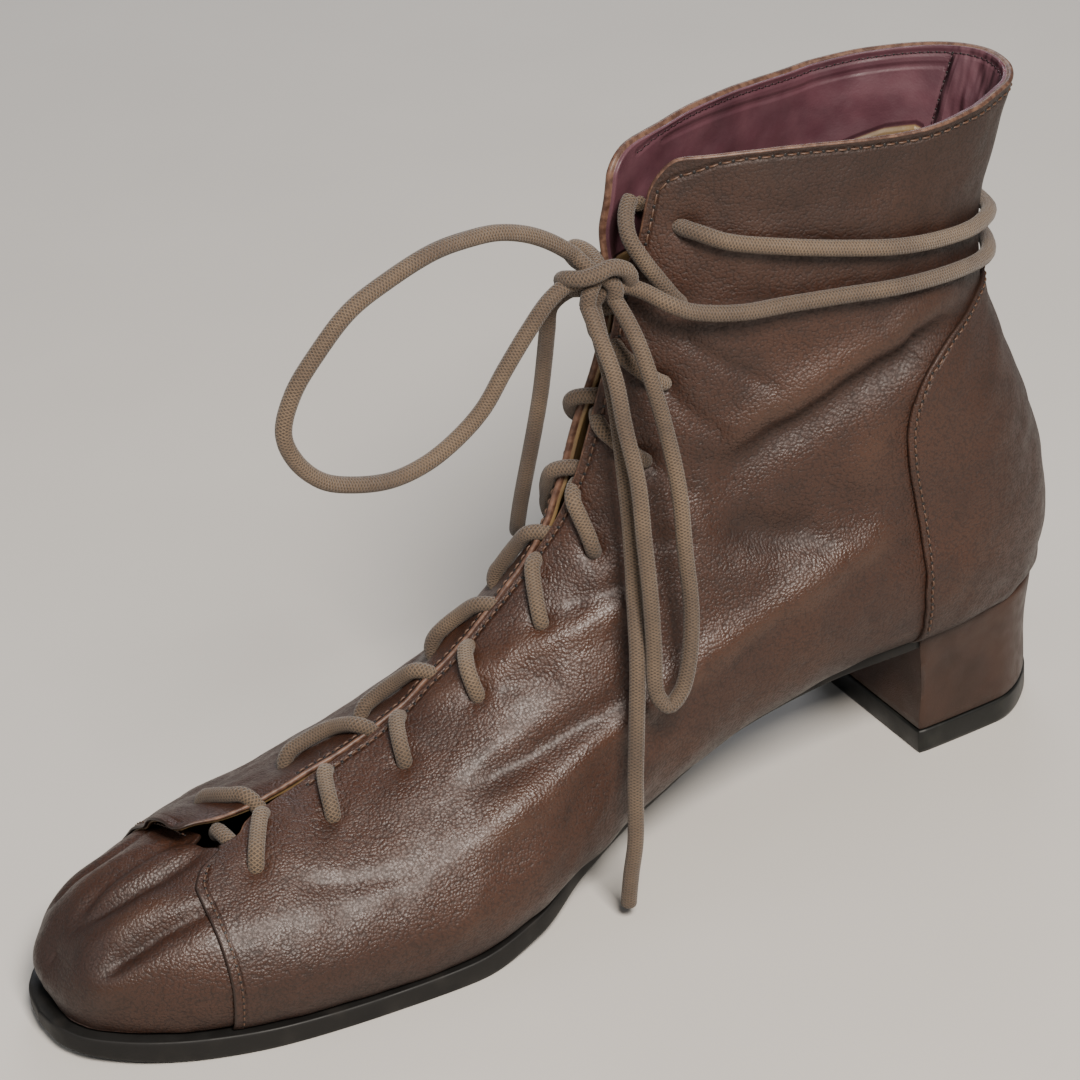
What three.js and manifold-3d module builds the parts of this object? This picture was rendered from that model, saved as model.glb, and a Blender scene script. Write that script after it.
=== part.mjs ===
// A lace up ankle boot with a low block heel, for the right foot, standing empty on its sole.
// Millimetres, +Z up, toe towards -X, inner side of the foot towards -Y.
import * as THREE from 'three';
import { mergeVertices } from 'three/addons/utils/BufferGeometryUtils.js';
import Module from 'manifold-3d';

const wasm = await Module();
wasm.setup();
const { Manifold, Mesh: SolidMesh } = wasm;

// Driving sizes of this boot. The tables below are written for a size 39 pattern and graded by them.
const SIZE = { length: 256, ballWidth: 80, seatHeight: 33.6, shaftTop: 155 };
const PATTERN = { length: 256, ballWidth: 80, seatHeight: 33.6, shaftTop: 155 };
const GRADE = {
  along: SIZE.length / PATTERN.length,
  across: SIZE.ballWidth / PATTERN.ballWidth,
  base: SIZE.seatHeight / PATTERN.seatHeight,
  rise: SIZE.shaftTop / PATTERN.shaftTop,
};

const CENTRE_Y = -0.9;
const FIT_GAP = 0.3;
const SEAT_GAP = 0.42;
const UPPER_WALL = 2.2;
const TOE_PIECE_DROP = 0.9;
const COUNTER_LIFT = 1.1;
const COUNTER_DEPTH = 0.9;
const INSOLE_THICKNESS = 2;
const LIFT_HEIGHT = 6;
const LACE_DIAMETER = 3.5;
const LACE_RADIUS = LACE_DIAMETER / 2;
const LACE_HOLE_RADIUS = 2.1;
const LACE_SIDES = 8;

// The last as a fan of sections, one for each row from the toe's stem to the collar. Each section runs from
// its base point on the feather line, or on the back seam, to its ridge point on the instep or front edge.
const STATION_COLUMNS = [
  'baseX', 'baseZ', 'ridgeX', 'ridgeZ', 'bow', 'featherIn', 'featherOut', 'wideIn', 'wideOut', 'wideAt',
  'crownIn', 'crownOut', 'ridgeY',
];
const STATIONS = [
  [5.0, 7.0, 7.6, 18.5, 3.2, 0.0, 0.0, 0.0, 0.0, 0.46, 2.0, 2.0, 0.0],
  [5.6, 6.9, 9.0, 21.0, 2.9, 6.5, 5.5, 7.0, 6.6, 0.45, 2.0, 2.0, 0.0],
  [8.0, 6.7, 12.6, 25.0, 2.2, 12.0, 10.5, 13.4, 12.6, 0.43, 2.0, 1.8, -0.5],
  [15.0, 6.3, 20.0, 29.6, 1.2, 18.6, 18.0, 20.6, 20.2, 0.40, 1.9, 1.65, -1.2],
  [28.0, 5.6, 33.0, 34.4, 0.3, 25.6, 26.0, 28.4, 27.8, 0.37, 1.8, 1.5, -1.8],
  [46.0, 5.0, 48.0, 37.2, 0.0, 31.0, 33.0, 34.4, 35.0, 0.34, 1.75, 1.42, -1.8],
  [66.0, 4.8, 67.0, 40.4, 0.0, 33.6, 37.0, 37.4, 39.2, 0.32, 1.65, 1.34, -1.4],
  [86.0, 5.2, 86.0, 46.0, 0.0, 34.8, 38.6, 39.0, 40.8, 0.30, 1.6, 1.28, -1.0],
  [104.0, 6.8, 100.5, 53.2, 0.0, 31.0, 37.6, 37.4, 40.0, 0.30, 1.55, 1.26, -0.6],
  [120.0, 9.8, 110.5, 60.4, 0.0, 23.0, 35.0, 34.0, 38.0, 0.31, 1.55, 1.26, -0.4],
  [140.0, 15.4, 119.6, 68.2, 0.0, 17.6, 31.8, 30.0, 35.8, 0.32, 1.6, 1.3, -0.2],
  [164.0, 22.6, 126.6, 74.8, 0.0, 15.0, 28.0, 27.6, 32.6, 0.33, 1.6, 1.36, 0.0],
  [190.0, 28.6, 130.6, 80.0, 0.0, 17.4, 25.8, 27.4, 30.4, 0.34, 1.6, 1.42, 0.0],
  [214.0, 32.0, 133.0, 84.6, 0.0, 21.4, 24.8, 27.8, 29.8, 0.36, 1.6, 1.46, 0.0],
  [234.0, 33.4, 134.8, 89.0, 0.0, 21.0, 22.4, 27.8, 29.0, 0.35, 1.6, 1.5, 0.0],
  [246.0, 33.7, 136.2, 93.0, 0.0, 14.4, 14.8, 27.6, 28.4, 0.32, 1.6, 1.5, 0.0],
  [251.4, 33.7, 137.4, 97.0, 0.0, 6.6, 6.6, 27.4, 28.0, 0.29, 1.6, 1.5, 0.0],
  [253.0, 33.8, 138.8, 101.0, 0.0, 0.0, 0.0, 27.0, 27.6, 0.27, 1.6, 1.5, 0.0],
  [255.4, 42.0, 140.6, 106.0, 0.0, 0.0, 0.0, 27.0, 27.4, 0.26, 1.6, 1.5, 0.0],
  [255.6, 56.0, 143.2, 113.0, 0.0, 0.0, 0.0, 26.6, 27.0, 0.28, 1.6, 1.5, 0.0],
  [251.4, 73.0, 146.0, 121.0, 0.0, 0.0, 0.0, 25.6, 26.2, 0.32, 1.6, 1.5, 0.0],
  [244.6, 92.0, 148.4, 129.0, 0.0, 0.0, 0.0, 24.0, 24.8, 0.36, 1.55, 1.5, 0.0],
  [239.4, 109.0, 150.2, 136.0, 0.0, 0.0, 0.0, 22.8, 23.4, 0.38, 1.5, 1.46, 0.0],
  [238.8, 125.0, 151.6, 142.6, 0.0, 0.0, 0.0, 22.2, 22.6, 0.37, 1.5, 1.42, 0.0],
  [242.4, 141.0, 152.6, 148.4, 0.0, 0.0, 0.0, 22.4, 22.2, 0.36, 1.5, 1.38, 0.0],
  [247.4, 155.2, 153.4, 153.6, 0.0, 0.0, 0.0, 22.8, 22.6, 0.36, 1.5, 1.36, 0.0],
];
const COLLAR_ROW = STATIONS.length - 1;
// From this row up the section's base is on the back seam, where its two sides meet.
const BACK_ROW = 17;
// The share of each side's girth, from the feather line, that is below the widest point.
const LOWER_SHARE = 0.36;

// The throat's two edges, as shares of the girth from the ridge: negative on the inner side.
const THROAT_COLUMNS = ['row', 'inEdge', 'outEdge'];
const THROAT = [
  [0, -0.08, 0.08],
  [3, -0.085, 0.06],
  [4.5, -0.105, 0.03],
  [5, -0.1, 0.005],
  [5.5, -0.058, 0.002],
  [6.2, -0.035, 0.022],
  [9, -0.03, 0.028],
  [11, -0.045, 0.042],
  [13, -0.065, 0.062],
  [16, -0.077, 0.08],
  [21, -0.077, 0.085],
  [22.8, -0.125, 0.11],
  [24.3, -0.137, 0.125],
  [24.75, -0.18, 0.16],
  [25, -0.27, 0.22],
];

// The seam where the quarters lie over the toe piece, and where the throat starts between them.
const TOE_SEAM_COLUMNS = ['around', 'row'];
const TOE_SEAM = [
  [-1, 4.42],
  [-0.8, 4.39],
  [-0.4, 4.3],
  [-0.215, 4.26],
  [-0.155, 4.42],
  [-0.105, 4.8],
  [-0.06, 4.6],
  [0.03, 4.47],
  [0.1, 4.42],
  [0.25, 4.38],
  [0.6, 4.38],
  [1, 4.42],
];

// The counter's front seam, as the share of girth that stays in front of it at each row.
const COUNTER_COLUMNS = ['row', 'share'];
const COUNTER_SEAM = [
  [12.75, 0.97],
  [13.4, 0.79],
  [14.1, 0.71],
  [15.5, 0.59],
  [18.1, 0.52],
  [19.2, 0.52],
  [19.95, 0.55],
  [20.7, 0.623],
  [21.5, 0.722],
  [21.9, 0.825],
  [22.2, 0.94],
  [22.3, 0.99],
];

// Rows of the lace holes from the throat's base to the collar, and how far round from the ridge they are.
const LACE_HOLE_COLUMNS = ['row', 'around'];
const LACE_HOLES = [
  [5.05, 0.205],
  [6.05, 0.175],
  [7.0, 0.16],
  [8.35, 0.17],
  [10.0, 0.19],
  [12.0, 0.19],
  [16.5, 0.195],
  [19.2, 0.2],
  [21.2, 0.223],
  [23.3, 0.223],
];
const CROSSED_HOLES = 8;

function namedRows(columns, rows) {
  return rows.map((row) => Object.fromEntries(columns.map((name, i) => [name, row[i]])));
}

// A curve through a table's values that never overshoots them, read at any key.
function curveThrough(keys, values) {
  const rise = keys.slice(1).map((key, i) => (values[i + 1] - values[i]) / (key - keys[i]));
  const slope = values.map((value, i) => {
    if (i === 0) return rise[0];
    if (i === values.length - 1) return rise[i - 1];
    const [before, after] = [rise[i - 1], rise[i]];
    return before * after > 0 ? (2 * before * after) / (before + after) : 0;
  });
  return (key) => {
    let i = 0;
    while (i < keys.length - 2 && key >= keys[i + 1]) i += 1;
    const width = keys[i + 1] - keys[i];
    const t = (key - keys[i]) / width;
    const keep = (1 + 2 * t) * (1 - t) ** 2 * values[i] + t * t * (3 - 2 * t) * values[i + 1];
    const bend = t * (1 - t) ** 2 * slope[i] - t * t * (1 - t) * slope[i + 1];
    return keep + width * bend;
  };
}

function curvesOf(columns, rows, keyColumn) {
  const named = namedRows(columns, rows);
  const keys = keyColumn ? named.map((row) => row[keyColumn]) : named.map((row, i) => i);
  return Object.fromEntries(
    columns.map((name) => [name, curveThrough(keys, named.map((row) => row[name]))]),
  );
}

const station = curvesOf(STATION_COLUMNS, STATIONS);
const throat = curvesOf(THROAT_COLUMNS, THROAT, 'row');
const toeSeam = curvesOf(TOE_SEAM_COLUMNS, TOE_SEAM, 'around');
const counterSeam = curvesOf(COUNTER_COLUMNS, COUNTER_SEAM, 'row');
const laceHoles = namedRows(LACE_HOLE_COLUMNS, LACE_HOLES);

const clamp = (value, low, high) => Math.min(high, Math.max(low, value));

// The base point of a section. Round the heel it is eased away from the feather line's corner, and grip, which
// is 1 at the feather line and 0 higher up, pulls it back to the true corner.
const EASE_ROWS = { first: 12.5, full: 14.5, fade: 19, last: 21 };
const EASE_SPREAD = [-1.8, -1.2, -0.6, 0, 0.6, 1.2, 1.8];

function basePoint(row, grip) {
  const exact = new THREE.Vector2(station.baseX(row), station.baseZ(row));
  const rising = THREE.MathUtils.smoothstep(row, EASE_ROWS.first, EASE_ROWS.full);
  const falling = 1 - THREE.MathUtils.smoothstep(row, EASE_ROWS.fade, EASE_ROWS.last);
  const eased = EASE_SPREAD.reduce((sum, spread) => (
    sum.add(new THREE.Vector2(station.baseX(row + spread), station.baseZ(row + spread)))
  ), new THREE.Vector2()).divideScalar(EASE_SPREAD.length);
  const point = exact.lerp(eased, rising * falling * (1 - grip));
  return new THREE.Vector2(point.x * GRADE.along, point.y * GRADE.base);
}

// A point of the last's skin. Around runs from -1 at the inner base over 0 at the ridge to 1 at the outer base.
function skinPoint(row, around) {
  const at = (name) => station[name](row);
  const side = around < 0 ? -1 : 1;
  const feather = (around < 0 ? at('featherIn') : at('featherOut')) * GRADE.across;
  const wide = (around < 0 ? at('wideIn') : at('wideOut')) * GRADE.across;
  const crown = around < 0 ? at('crownIn') : at('crownOut');
  const ridge = new THREE.Vector2(at('ridgeX') * GRADE.along, at('ridgeZ') * GRADE.rise);
  const up = 1 - Math.abs(around);
  const wideAt = at('wideAt');
  let across;
  let share;
  let grip = 0;
  if (up < LOWER_SHARE) {
    const turn = (clamp(up / LOWER_SHARE, 0, 1) * Math.PI) / 2;
    across = feather + (wide - feather) * Math.sin(turn);
    share = wideAt * (1 - Math.cos(turn));
    grip = (1 - Math.sin(turn)) ** 2;
  } else {
    const turn = (clamp((up - LOWER_SHARE) / (1 - LOWER_SHARE), 0, 1) * Math.PI) / 2;
    across = wide * Math.max(0, Math.cos(turn)) ** (2 / crown);
    share = wideAt + (1 - wideAt) * Math.sin(turn) ** (2 / crown);
  }
  const base = basePoint(row, grip);
  const line = ridge.clone().sub(base);
  const bow = at('bow') * Math.sin(Math.PI * clamp(share, 0, 1));
  const height = line.length();
  const place = base.clone().addScaledVector(line, share);
  place.x -= (line.y / height) * bow;
  place.y += (line.x / height) * bow;
  const y = side * across + at('ridgeY') * GRADE.across * share * share + CENTRE_Y;
  return new THREE.Vector3(place.x, y, place.y);
}

const STEP = 0.01;

function plainNormal(row, around) {
  const [rowLow, rowHigh] = [Math.max(0, row - STEP), Math.min(COLLAR_ROW, row + STEP)];
  const [low, high] = [Math.max(-1, around - STEP), Math.min(1, around + STEP)];
  const alongRow = skinPoint(rowHigh, around).sub(skinPoint(rowLow, around));
  const alongGirth = skinPoint(row, high).sub(skinPoint(row, low));
  return alongRow.cross(alongGirth).normalize();
}

const onStem = (row) => row < STEP;
const onBackSeam = (row, around) => Math.abs(around) > 1 - STEP / 10 && row > BACK_ROW - STEP;

// The outward direction, shared by both sides where they meet at the toe's stem and at the back seam.
function skinNormal(row, around) {
  if (onStem(row)) {
    const rowInside = STEP * 2;
    return plainNormal(rowInside, around).add(plainNormal(rowInside, -around)).normalize();
  }
  if (onBackSeam(row, around)) return plainNormal(row, -1).add(plainNormal(row, 1)).normalize();
  return plainNormal(row, around);
}

// A point at an offset from the skin. Where the sides meet, both give the very same point.
function skin(row, around, offset) {
  const side = onStem(row) || onBackSeam(row, around) ? Math.abs(around) : around;
  return skinPoint(row, side).addScaledVector(skinNormal(row, side), offset);
}

// A closed wall between an outer and an inner face of the same cells, with a rim along every open edge.
function closedWall(corners, cells) {
  const known = new Map();
  const outer = [];
  const inner = [];
  const index = corners.map((corner) => {
    const key = corner.outer.toArray().map((value) => Math.round(value * 1e4)).join(',');
    if (!known.has(key)) {
      known.set(key, outer.length);
      outer.push(corner.outer);
      inner.push(corner.inner);
    }
    return known.get(key);
  });
  const faces = [];
  for (const [a, b, c, d] of cells.map((cell) => cell.map((corner) => index[corner]))) {
    if (a !== b && b !== c && a !== c) faces.push([a, b, c]);
    if (a !== c && c !== d && a !== d) faces.push([a, c, d]);
  }
  const edges = new Set(faces.flatMap(([a, b, c]) => [`${a},${b}`, `${b},${c}`, `${c},${a}`]));
  const count = outer.length;
  const triangles = [...faces.flat()];
  for (const [a, b, c] of faces) {
    triangles.push(a + count, c + count, b + count);
    for (const [from, to] of [[a, b], [b, c], [c, a]]) {
      if (!edges.has(`${to},${from}`)) {
        triangles.push(to, from, from + count, to, from + count, to + count);
      }
    }
  }
  const positions = [...outer, ...inner].flatMap((point) => point.toArray());
  return solidFrom(positions, triangles);
}

function solidFrom(positions, triangles) {
  const mesh = new SolidMesh({
    numProp: 3,
    vertProperties: new Float32Array(positions),
    triVerts: new Uint32Array(triangles),
  });
  mesh.merge();
  const solid = new Manifold(mesh);
  return solid.volume() < 0 ? new Manifold(flipped(mesh)) : solid;
}

function flipped(mesh) {
  const triangles = mesh.triVerts.slice();
  for (let i = 0; i < triangles.length; i += 3) {
    [triangles[i + 1], triangles[i + 2]] = [triangles[i + 2], triangles[i + 1]];
  }
  const turned = new SolidMesh({ numProp: 3, vertProperties: mesh.vertProperties, triVerts: triangles });
  turned.merge();
  return turned;
}

function geometryOf(solid) {
  const mesh = solid.getMesh();
  const geometry = new THREE.BufferGeometry();
  geometry.setAttribute('position', new THREE.BufferAttribute(mesh.vertProperties, 3));
  geometry.setIndex(new THREE.BufferAttribute(mesh.triVerts, 1));
  return geometry;
}

function solidOf(geometry) {
  const bare = geometry.clone();
  bare.deleteAttribute('normal');
  bare.deleteAttribute('uv');
  const merged = mergeVertices(bare, 1e-4);
  return solidFrom(merged.attributes.position.array, merged.index.array);
}

// A grid of cells: every pair of neighbouring lines and columns that the test keeps.
function gridCells(lines, columns, keeps = () => true) {
  const cells = [];
  for (let i = 0; i < lines - 1; i += 1) {
    for (let j = 0; j < columns - 1; j += 1) {
      const corner = i * columns + j;
      if (keeps(i, j)) cells.push([corner, corner + 1, corner + columns + 1, corner + columns]);
    }
  }
  return cells;
}

// The upper: toe piece, quarters and shaft as one wall, with the toe piece a step lower at its seam.
const TOE_LINES = 9;
const QUARTER_LINES = 28;
const SIDE_CELLS = 10;
const SEAM_STEP = 0.06;
const RIM_LINES = [0.985, 0.995];

function upperWall() {
  const sideShares = Array.from({ length: SIDE_CELLS + 1 }, (unused, k) => k / SIDE_CELLS);
  const throatShares = [0.5];
  const columns = 2 * (SIDE_CELLS + 1) + throatShares.length;
  const aroundAt = (row, j) => {
    const { inEdge, outEdge } = { inEdge: throat.inEdge(row), outEdge: throat.outEdge(row) };
    if (j <= SIDE_CELLS) return THREE.MathUtils.lerp(-1, inEdge, sideShares[j]);
    if (j > SIDE_CELLS + throatShares.length) {
      return THREE.MathUtils.lerp(outEdge, 1, sideShares[j - SIDE_CELLS - throatShares.length - 1]);
    }
    return THREE.MathUtils.lerp(inEdge, outEdge, throatShares[j - SIDE_CELLS - 1]);
  };
  const quarterShares = Array.from({ length: QUARTER_LINES + 1 }, (unused, k) => k / QUARTER_LINES)
    .filter((share) => share < RIM_LINES[0] - 0.01)
    .concat(RIM_LINES, 1);
  const lines = [];
  for (let k = 0; k <= TOE_LINES; k += 1) {
    lines.push({ row: (seam) => (seam * k) / TOE_LINES, offset: -TOE_PIECE_DROP });
  }
  for (const share of quarterShares) {
    lines.push({
      row: (seam) => THREE.MathUtils.lerp(seam + SEAM_STEP, COLLAR_ROW, share),
      offset: 0,
    });
  }
  const corners = lines.flatMap((line) => Array.from({ length: columns }, (unused, j) => {
    const seam = toeSeam.row(aroundAt(TOE_SEAM[3][1], j));
    const row = line.row(seam);
    const around = aroundAt(row, j);
    return { outer: skin(row, around, line.offset), inner: skin(row, around, -UPPER_WALL) };
  }));
  const inThroat = (i, j) => i >= TOE_LINES && j >= SIDE_CELLS && j <= SIDE_CELLS + throatShares.length;
  return closedWall(corners, gridCells(lines.length, columns, (i, j) => !inThroat(i, j)));
}

// Rows along the bottom, used by the insole, the sole and the heel.
const BASE_X = STATIONS.slice(0, BACK_ROW + 1).map((row) => row[0] * GRADE.along);
const baseHeight = curveThrough(BASE_X, STATIONS.slice(0, BACK_ROW + 1).map((row) => row[1] * GRADE.base));

// The counter: a second layer over the heel, skived out where it meets the sole.
const COUNTER_LINES = 16;
const COUNTER_SIDE_CELLS = 5;
const SKIVE_HEIGHT = 3;
const SKIVE_START = 0.2;
const SLIVER = 0.01;

function counterLayer() {
  const firstRow = COUNTER_SEAM[0][0];
  const lastRow = COUNTER_SEAM.at(-1)[0];
  const rows = Array.from({ length: COUNTER_LINES }, (unused, k) => (
    THREE.MathUtils.lerp(firstRow, lastRow, k / (COUNTER_LINES - 1))
  ));
  const backLine = rows.findIndex((row) => row >= BACK_ROW);
  rows[backLine] = BACK_ROW;
  const columns = 2 * (COUNTER_SIDE_CELLS + 1);
  const corners = rows.flatMap((row) => Array.from({ length: columns }, (unused, j) => {
    const onInner = j <= COUNTER_SIDE_CELLS;
    const share = onInner ? j / COUNTER_SIDE_CELLS : (columns - 1 - j) / COUNTER_SIDE_CELLS;
    const distance = THREE.MathUtils.lerp(counterSeam.share(row), 1, share);
    const around = onInner ? -distance : distance;
    const point = skinPoint(row, around);
    const seat = baseHeight(Math.min(point.x, BASE_X.at(-1)));
    const full = clamp((point.z - seat) / SKIVE_HEIGHT, 0, 1);
    return {
      outer: skin(row, around, THREE.MathUtils.lerp(-SKIVE_START, COUNTER_LIFT, full)),
      inner: skin(row, around, -THREE.MathUtils.lerp(2 * SKIVE_START, COUNTER_DEPTH, full)),
    };
  }));
  const overSeat = (i, j) => i < backLine && j === COUNTER_SIDE_CELLS;
  return closedWall(corners, gridCells(rows.length, columns, (i, j) => !overSeat(i, j)));
}

function laceHoleCutter(hole, side) {
  const around = side * hole.around;
  const centre = skinPoint(hole.row, around);
  const cutter = new THREE.CylinderGeometry(LACE_HOLE_RADIUS, LACE_HOLE_RADIUS, UPPER_WALL * 4, LACE_SIDES);
  const turn = new THREE.Quaternion().setFromUnitVectors(new THREE.Vector3(0, 1, 0), skinNormal(hole.row, around));
  cutter.applyQuaternion(turn);
  cutter.translate(centre.x, centre.y, centre.z);
  return solidOf(cutter);
}

// The largest body of a solid, without the slivers that two close faces can leave between them.
function largestBody(solid) {
  return solid.decompose().reduce((best, body) => (body.volume() > best.volume() ? body : best));
}

function buildUpper() {
  const cutters = laceHoles.flatMap((hole) => [laceHoleCutter(hole, -1), laceHoleCutter(hole, 1)]);
  const layered = largestBody(upperWall().add(counterLayer()));
  return largestBody(layered.subtract(Manifold.union(cutters)).simplify(SLIVER));
}

// A point of the feather line, moved out in plan by a margin.
function featherPoint(row, side, margin) {
  const edge = (at) => {
    const half = side < 0 ? station.featherIn(at) : station.featherOut(at);
    return new THREE.Vector2(station.baseX(at) * GRADE.along, side * half * GRADE.across);
  };
  const [low, high] = [Math.max(0, row - STEP), Math.min(BACK_ROW, row + STEP)];
  const along = edge(high).sub(edge(low)).normalize();
  let out = new THREE.Vector2(-side * along.y, side * along.x);
  if (row < STEP) out = new THREE.Vector2(-1, 0);
  if (row > BACK_ROW - STEP) out = new THREE.Vector2(1, 0);
  const point = edge(row).addScaledVector(out, margin);
  return new THREE.Vector2(point.x, point.y + CENTRE_Y);
}

const ACROSS = [0, 0.5, 1];

// A plate between two heights, over the part of the foot's outline that the rows cover.
function plate(rows, margin, topAt, bottomAt, limit = (x) => x, taper = (point) => point) {
  const corners = rows.flatMap((row) => {
    const inside = featherPoint(row, -1, margin(row));
    const outside = featherPoint(row, 1, margin(row));
    return ACROSS.map((share) => {
      const x = limit(THREE.MathUtils.lerp(inside.x, outside.x, share));
      const y = THREE.MathUtils.lerp(inside.y, outside.y, share);
      const low = taper(new THREE.Vector2(x, y));
      return {
        outer: new THREE.Vector3(x, y, topAt(x)),
        inner: new THREE.Vector3(low.x, low.y, bottomAt(low.x)),
      };
    });
  });
  return closedWall(corners, gridCells(rows.length, ACROSS.length));
}

function rowsBetween(first, last, count) {
  return Array.from({ length: count }, (unused, k) => THREE.MathUtils.lerp(first, last, k / (count - 1)));
}

function rowAtX(x) {
  let [low, high] = [0, BACK_ROW];
  for (let k = 0; k < 40; k += 1) {
    const middle = (low + high) / 2;
    if (station.baseX(middle) * GRADE.along < x) low = middle;
    else high = middle;
  }
  return low;
}

const HEEL_BREAST_X = 211 * GRADE.along;
const HEEL_BREAST_ROW = rowAtX(HEEL_BREAST_X);

// How far the insole stays inside the feather line, where the upper's wall turns in over it.
const INSOLE_MARGIN_COLUMNS = ['row', 'margin'];
const INSOLE_MARGIN = [
  [0, -2.8],
  [2, -2.4],
  [4, -2],
  [12, -1.9],
  [14, -2.8],
  [16, -3.4],
  [17, -3.8],
];

function buildInsole() {
  const margin = curvesOf(INSOLE_MARGIN_COLUMNS, INSOLE_MARGIN, 'row').margin;
  return plate(rowsBetween(0, BACK_ROW, 27), margin, (x) => baseHeight(x) + INSOLE_THICKNESS, baseHeight);
}

// The sole's underside: toe spring, the flat that it stands on, and the climb to the heel breast.
const UNDERSIDE_COLUMNS = ['x', 'z'];
const UNDERSIDE = [
  [0, 2.4],
  [8, 1.9],
  [18, 0.9],
  [30, 0.2],
  [42, 0],
  [88, 0],
  [104, 1.9],
  [120, 5.4],
  [140, 11.8],
  [164, 19.6],
  [190, 25.8],
  [214, 29.2],
];
const SOLE_MARGIN_COLUMNS = ['row', 'margin'];
const SOLE_MARGIN = [
  [0, 2.4],
  [7, 2.4],
  [9.5, 1.2],
  [12, 0.3],
  [17, 0.3],
];

function buildOutsole() {
  const underside = namedRows(UNDERSIDE_COLUMNS, UNDERSIDE);
  const undersideAt = curveThrough(
    underside.map((row) => row.x * GRADE.along),
    underside.map((row) => row.z * GRADE.base),
  );
  const margin = curvesOf(SOLE_MARGIN_COLUMNS, SOLE_MARGIN, 'row').margin;
  const rows = [0, 0.25, 0.5, 0.75, 1, 1.5].concat(rowsBetween(2, HEEL_BREAST_ROW, 26));
  const inFront = (x) => Math.min(x, HEEL_BREAST_X - FIT_GAP);
  return plate(rows, margin, (x) => baseHeight(x) - SEAT_GAP, undersideAt, inFront);
}

const HEEL_MARGIN = 0.7;
const LIFT_MARGIN = 0.3;
const HEEL_TAPER = { along: 0.955, across: 0.965 };

function heelPlate(margin, topAt, bottomAt, taper) {
  const rows = [HEEL_BREAST_ROW, 13.2, 13.6, 14, 14.4, 14.8, 15.2, 15.6, 16, 16.35, 16.7, BACK_ROW];
  const behind = (x) => Math.max(x, HEEL_BREAST_X);
  return plate(rows, () => margin, topAt, bottomAt, behind, taper);
}

function heelTaper(point) {
  return new THREE.Vector2(
    HEEL_BREAST_X + (point.x - HEEL_BREAST_X) * HEEL_TAPER.along,
    CENTRE_Y + (point.y - CENTRE_Y) * HEEL_TAPER.across,
  );
}

function buildHeel() {
  return heelPlate(HEEL_MARGIN, (x) => baseHeight(x) - SEAT_GAP, () => LIFT_HEIGHT + FIT_GAP, heelTaper);
}

function buildLift() {
  const lift = heelPlate(HEEL_MARGIN + LIFT_MARGIN, () => LIFT_HEIGHT, () => 0, (point) => point);
  return lift
    .translate([-HEEL_BREAST_X, -CENTRE_Y, 0])
    .scale([HEEL_TAPER.along, HEEL_TAPER.across, 1])
    .translate([HEEL_BREAST_X, CENTRE_Y, 0]);
}

// A round cord through points, capped at both ends.
function cordAlong(points, steps) {
  const path = new THREE.CatmullRomCurve3(points, false, 'centripetal');
  const section = new THREE.Shape();
  for (let k = 0; k < LACE_SIDES; k += 1) {
    const angle = (2 * Math.PI * k) / LACE_SIDES;
    const [x, y] = [LACE_RADIUS * Math.cos(angle), LACE_RADIUS * Math.sin(angle)];
    if (k === 0) section.moveTo(x, y);
    else section.lineTo(x, y);
  }
  section.closePath();
  return solidOf(new THREE.ExtrudeGeometry(section, { steps, bevelEnabled: false, extrudePath: path }));
}

const SKIN_CLEARANCE = 0.45;
const RIDGE_CLEARANCE = 0.9;
const RIDGE_SPREAD = 0.06;
const CROSSING_STEPS = 9;

// One crossing: a bar of lace from an inner hole over the throat to the outer hole opposite.
function buildCrossing(hole) {
  const shares = [-1, -0.8, -0.6, -0.42, -0.26, -0.1, 0.1, 0.26, 0.42, 0.6, 0.8, 1];
  const points = shares.map((share) => {
    const around = share * hole.around;
    const lift = RIDGE_CLEARANCE * Math.exp(-((around / RIDGE_SPREAD) ** 2));
    return skin(hole.row, around, LACE_RADIUS + SKIN_CLEARANCE + lift);
  });
  return cordAlong(points, CROSSING_STEPS);
}

const WRAP_COLUMNS = ['row', 'around', 'offset'];

// The lace from the inner top hole: back along the inner side, round the heel and forward on the outer side.
const INNER_WRAP = [
  [23.28, -0.223, 2.4],
  [23.1, -0.3, 2.7],
  [23.03, -0.4, 2.7],
  [23.0, -0.5, 2.7],
  [23.0, -0.6, 2.7],
  [23.0, -0.7, 2.7],
  [23.0, -0.8, 2.7],
  [23.0, -0.9, 2.8],
  [23.0, -0.96, 2.9],
  [22.98, 1.0, 3.0],
  [22.9, 0.93, 2.8],
  [22.7, 0.85, 2.7],
  [22.45, 0.75, 2.7],
  [22.2, 0.6, 2.8],
  [21.9, 0.48, 2.8],
  [21.6, 0.36, 2.8],
  [21.4, 0.27, 3.0],
  [21.4, 0.2, 3.4],
  [21.5, 0.13, 4.0],
];
// The lace from the outer top hole: back along the outer side, round the heel and forward on the inner side.
const OUTER_WRAP = [
  [23.28, 0.223, 2.4],
  [23.1, 0.3, 2.7],
  [23.05, 0.42, 2.8],
  [23.05, 0.54, 3.0],
  [23.05, 0.66, 4.2],
  [22.98, 0.76, 6.6],
  [22.85, 0.84, 6.8],
  [22.65, 0.92, 6.2],
  [22.45, 1.0, 4.6],
  [22.42, -0.94, 4.0],
  [22.42, -0.85, 3.8],
  [22.4, -0.74, 3.6],
  [22.25, -0.62, 3.0],
  [22.05, -0.5, 2.8],
  [21.75, -0.4, 3.0],
  [21.45, -0.32, 4.4],
];
const OUTER_WRAP_END = [[159, -17.5, 127.5], [154.5, -16, 130], [151.5, -11.8, 132], [148.8, -9.1, 133.2]];
const INNER_WRAP_END = [[147.4, 5.2, 134.2], [145.2, 0.95, 134.9]];

function wrapPoints(rows, end) {
  const onSkin = namedRows(WRAP_COLUMNS, rows).map((at) => skin(at.row, at.around, at.offset));
  return onSkin.concat(end.map((point) => new THREE.Vector3(...point)));
}

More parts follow.
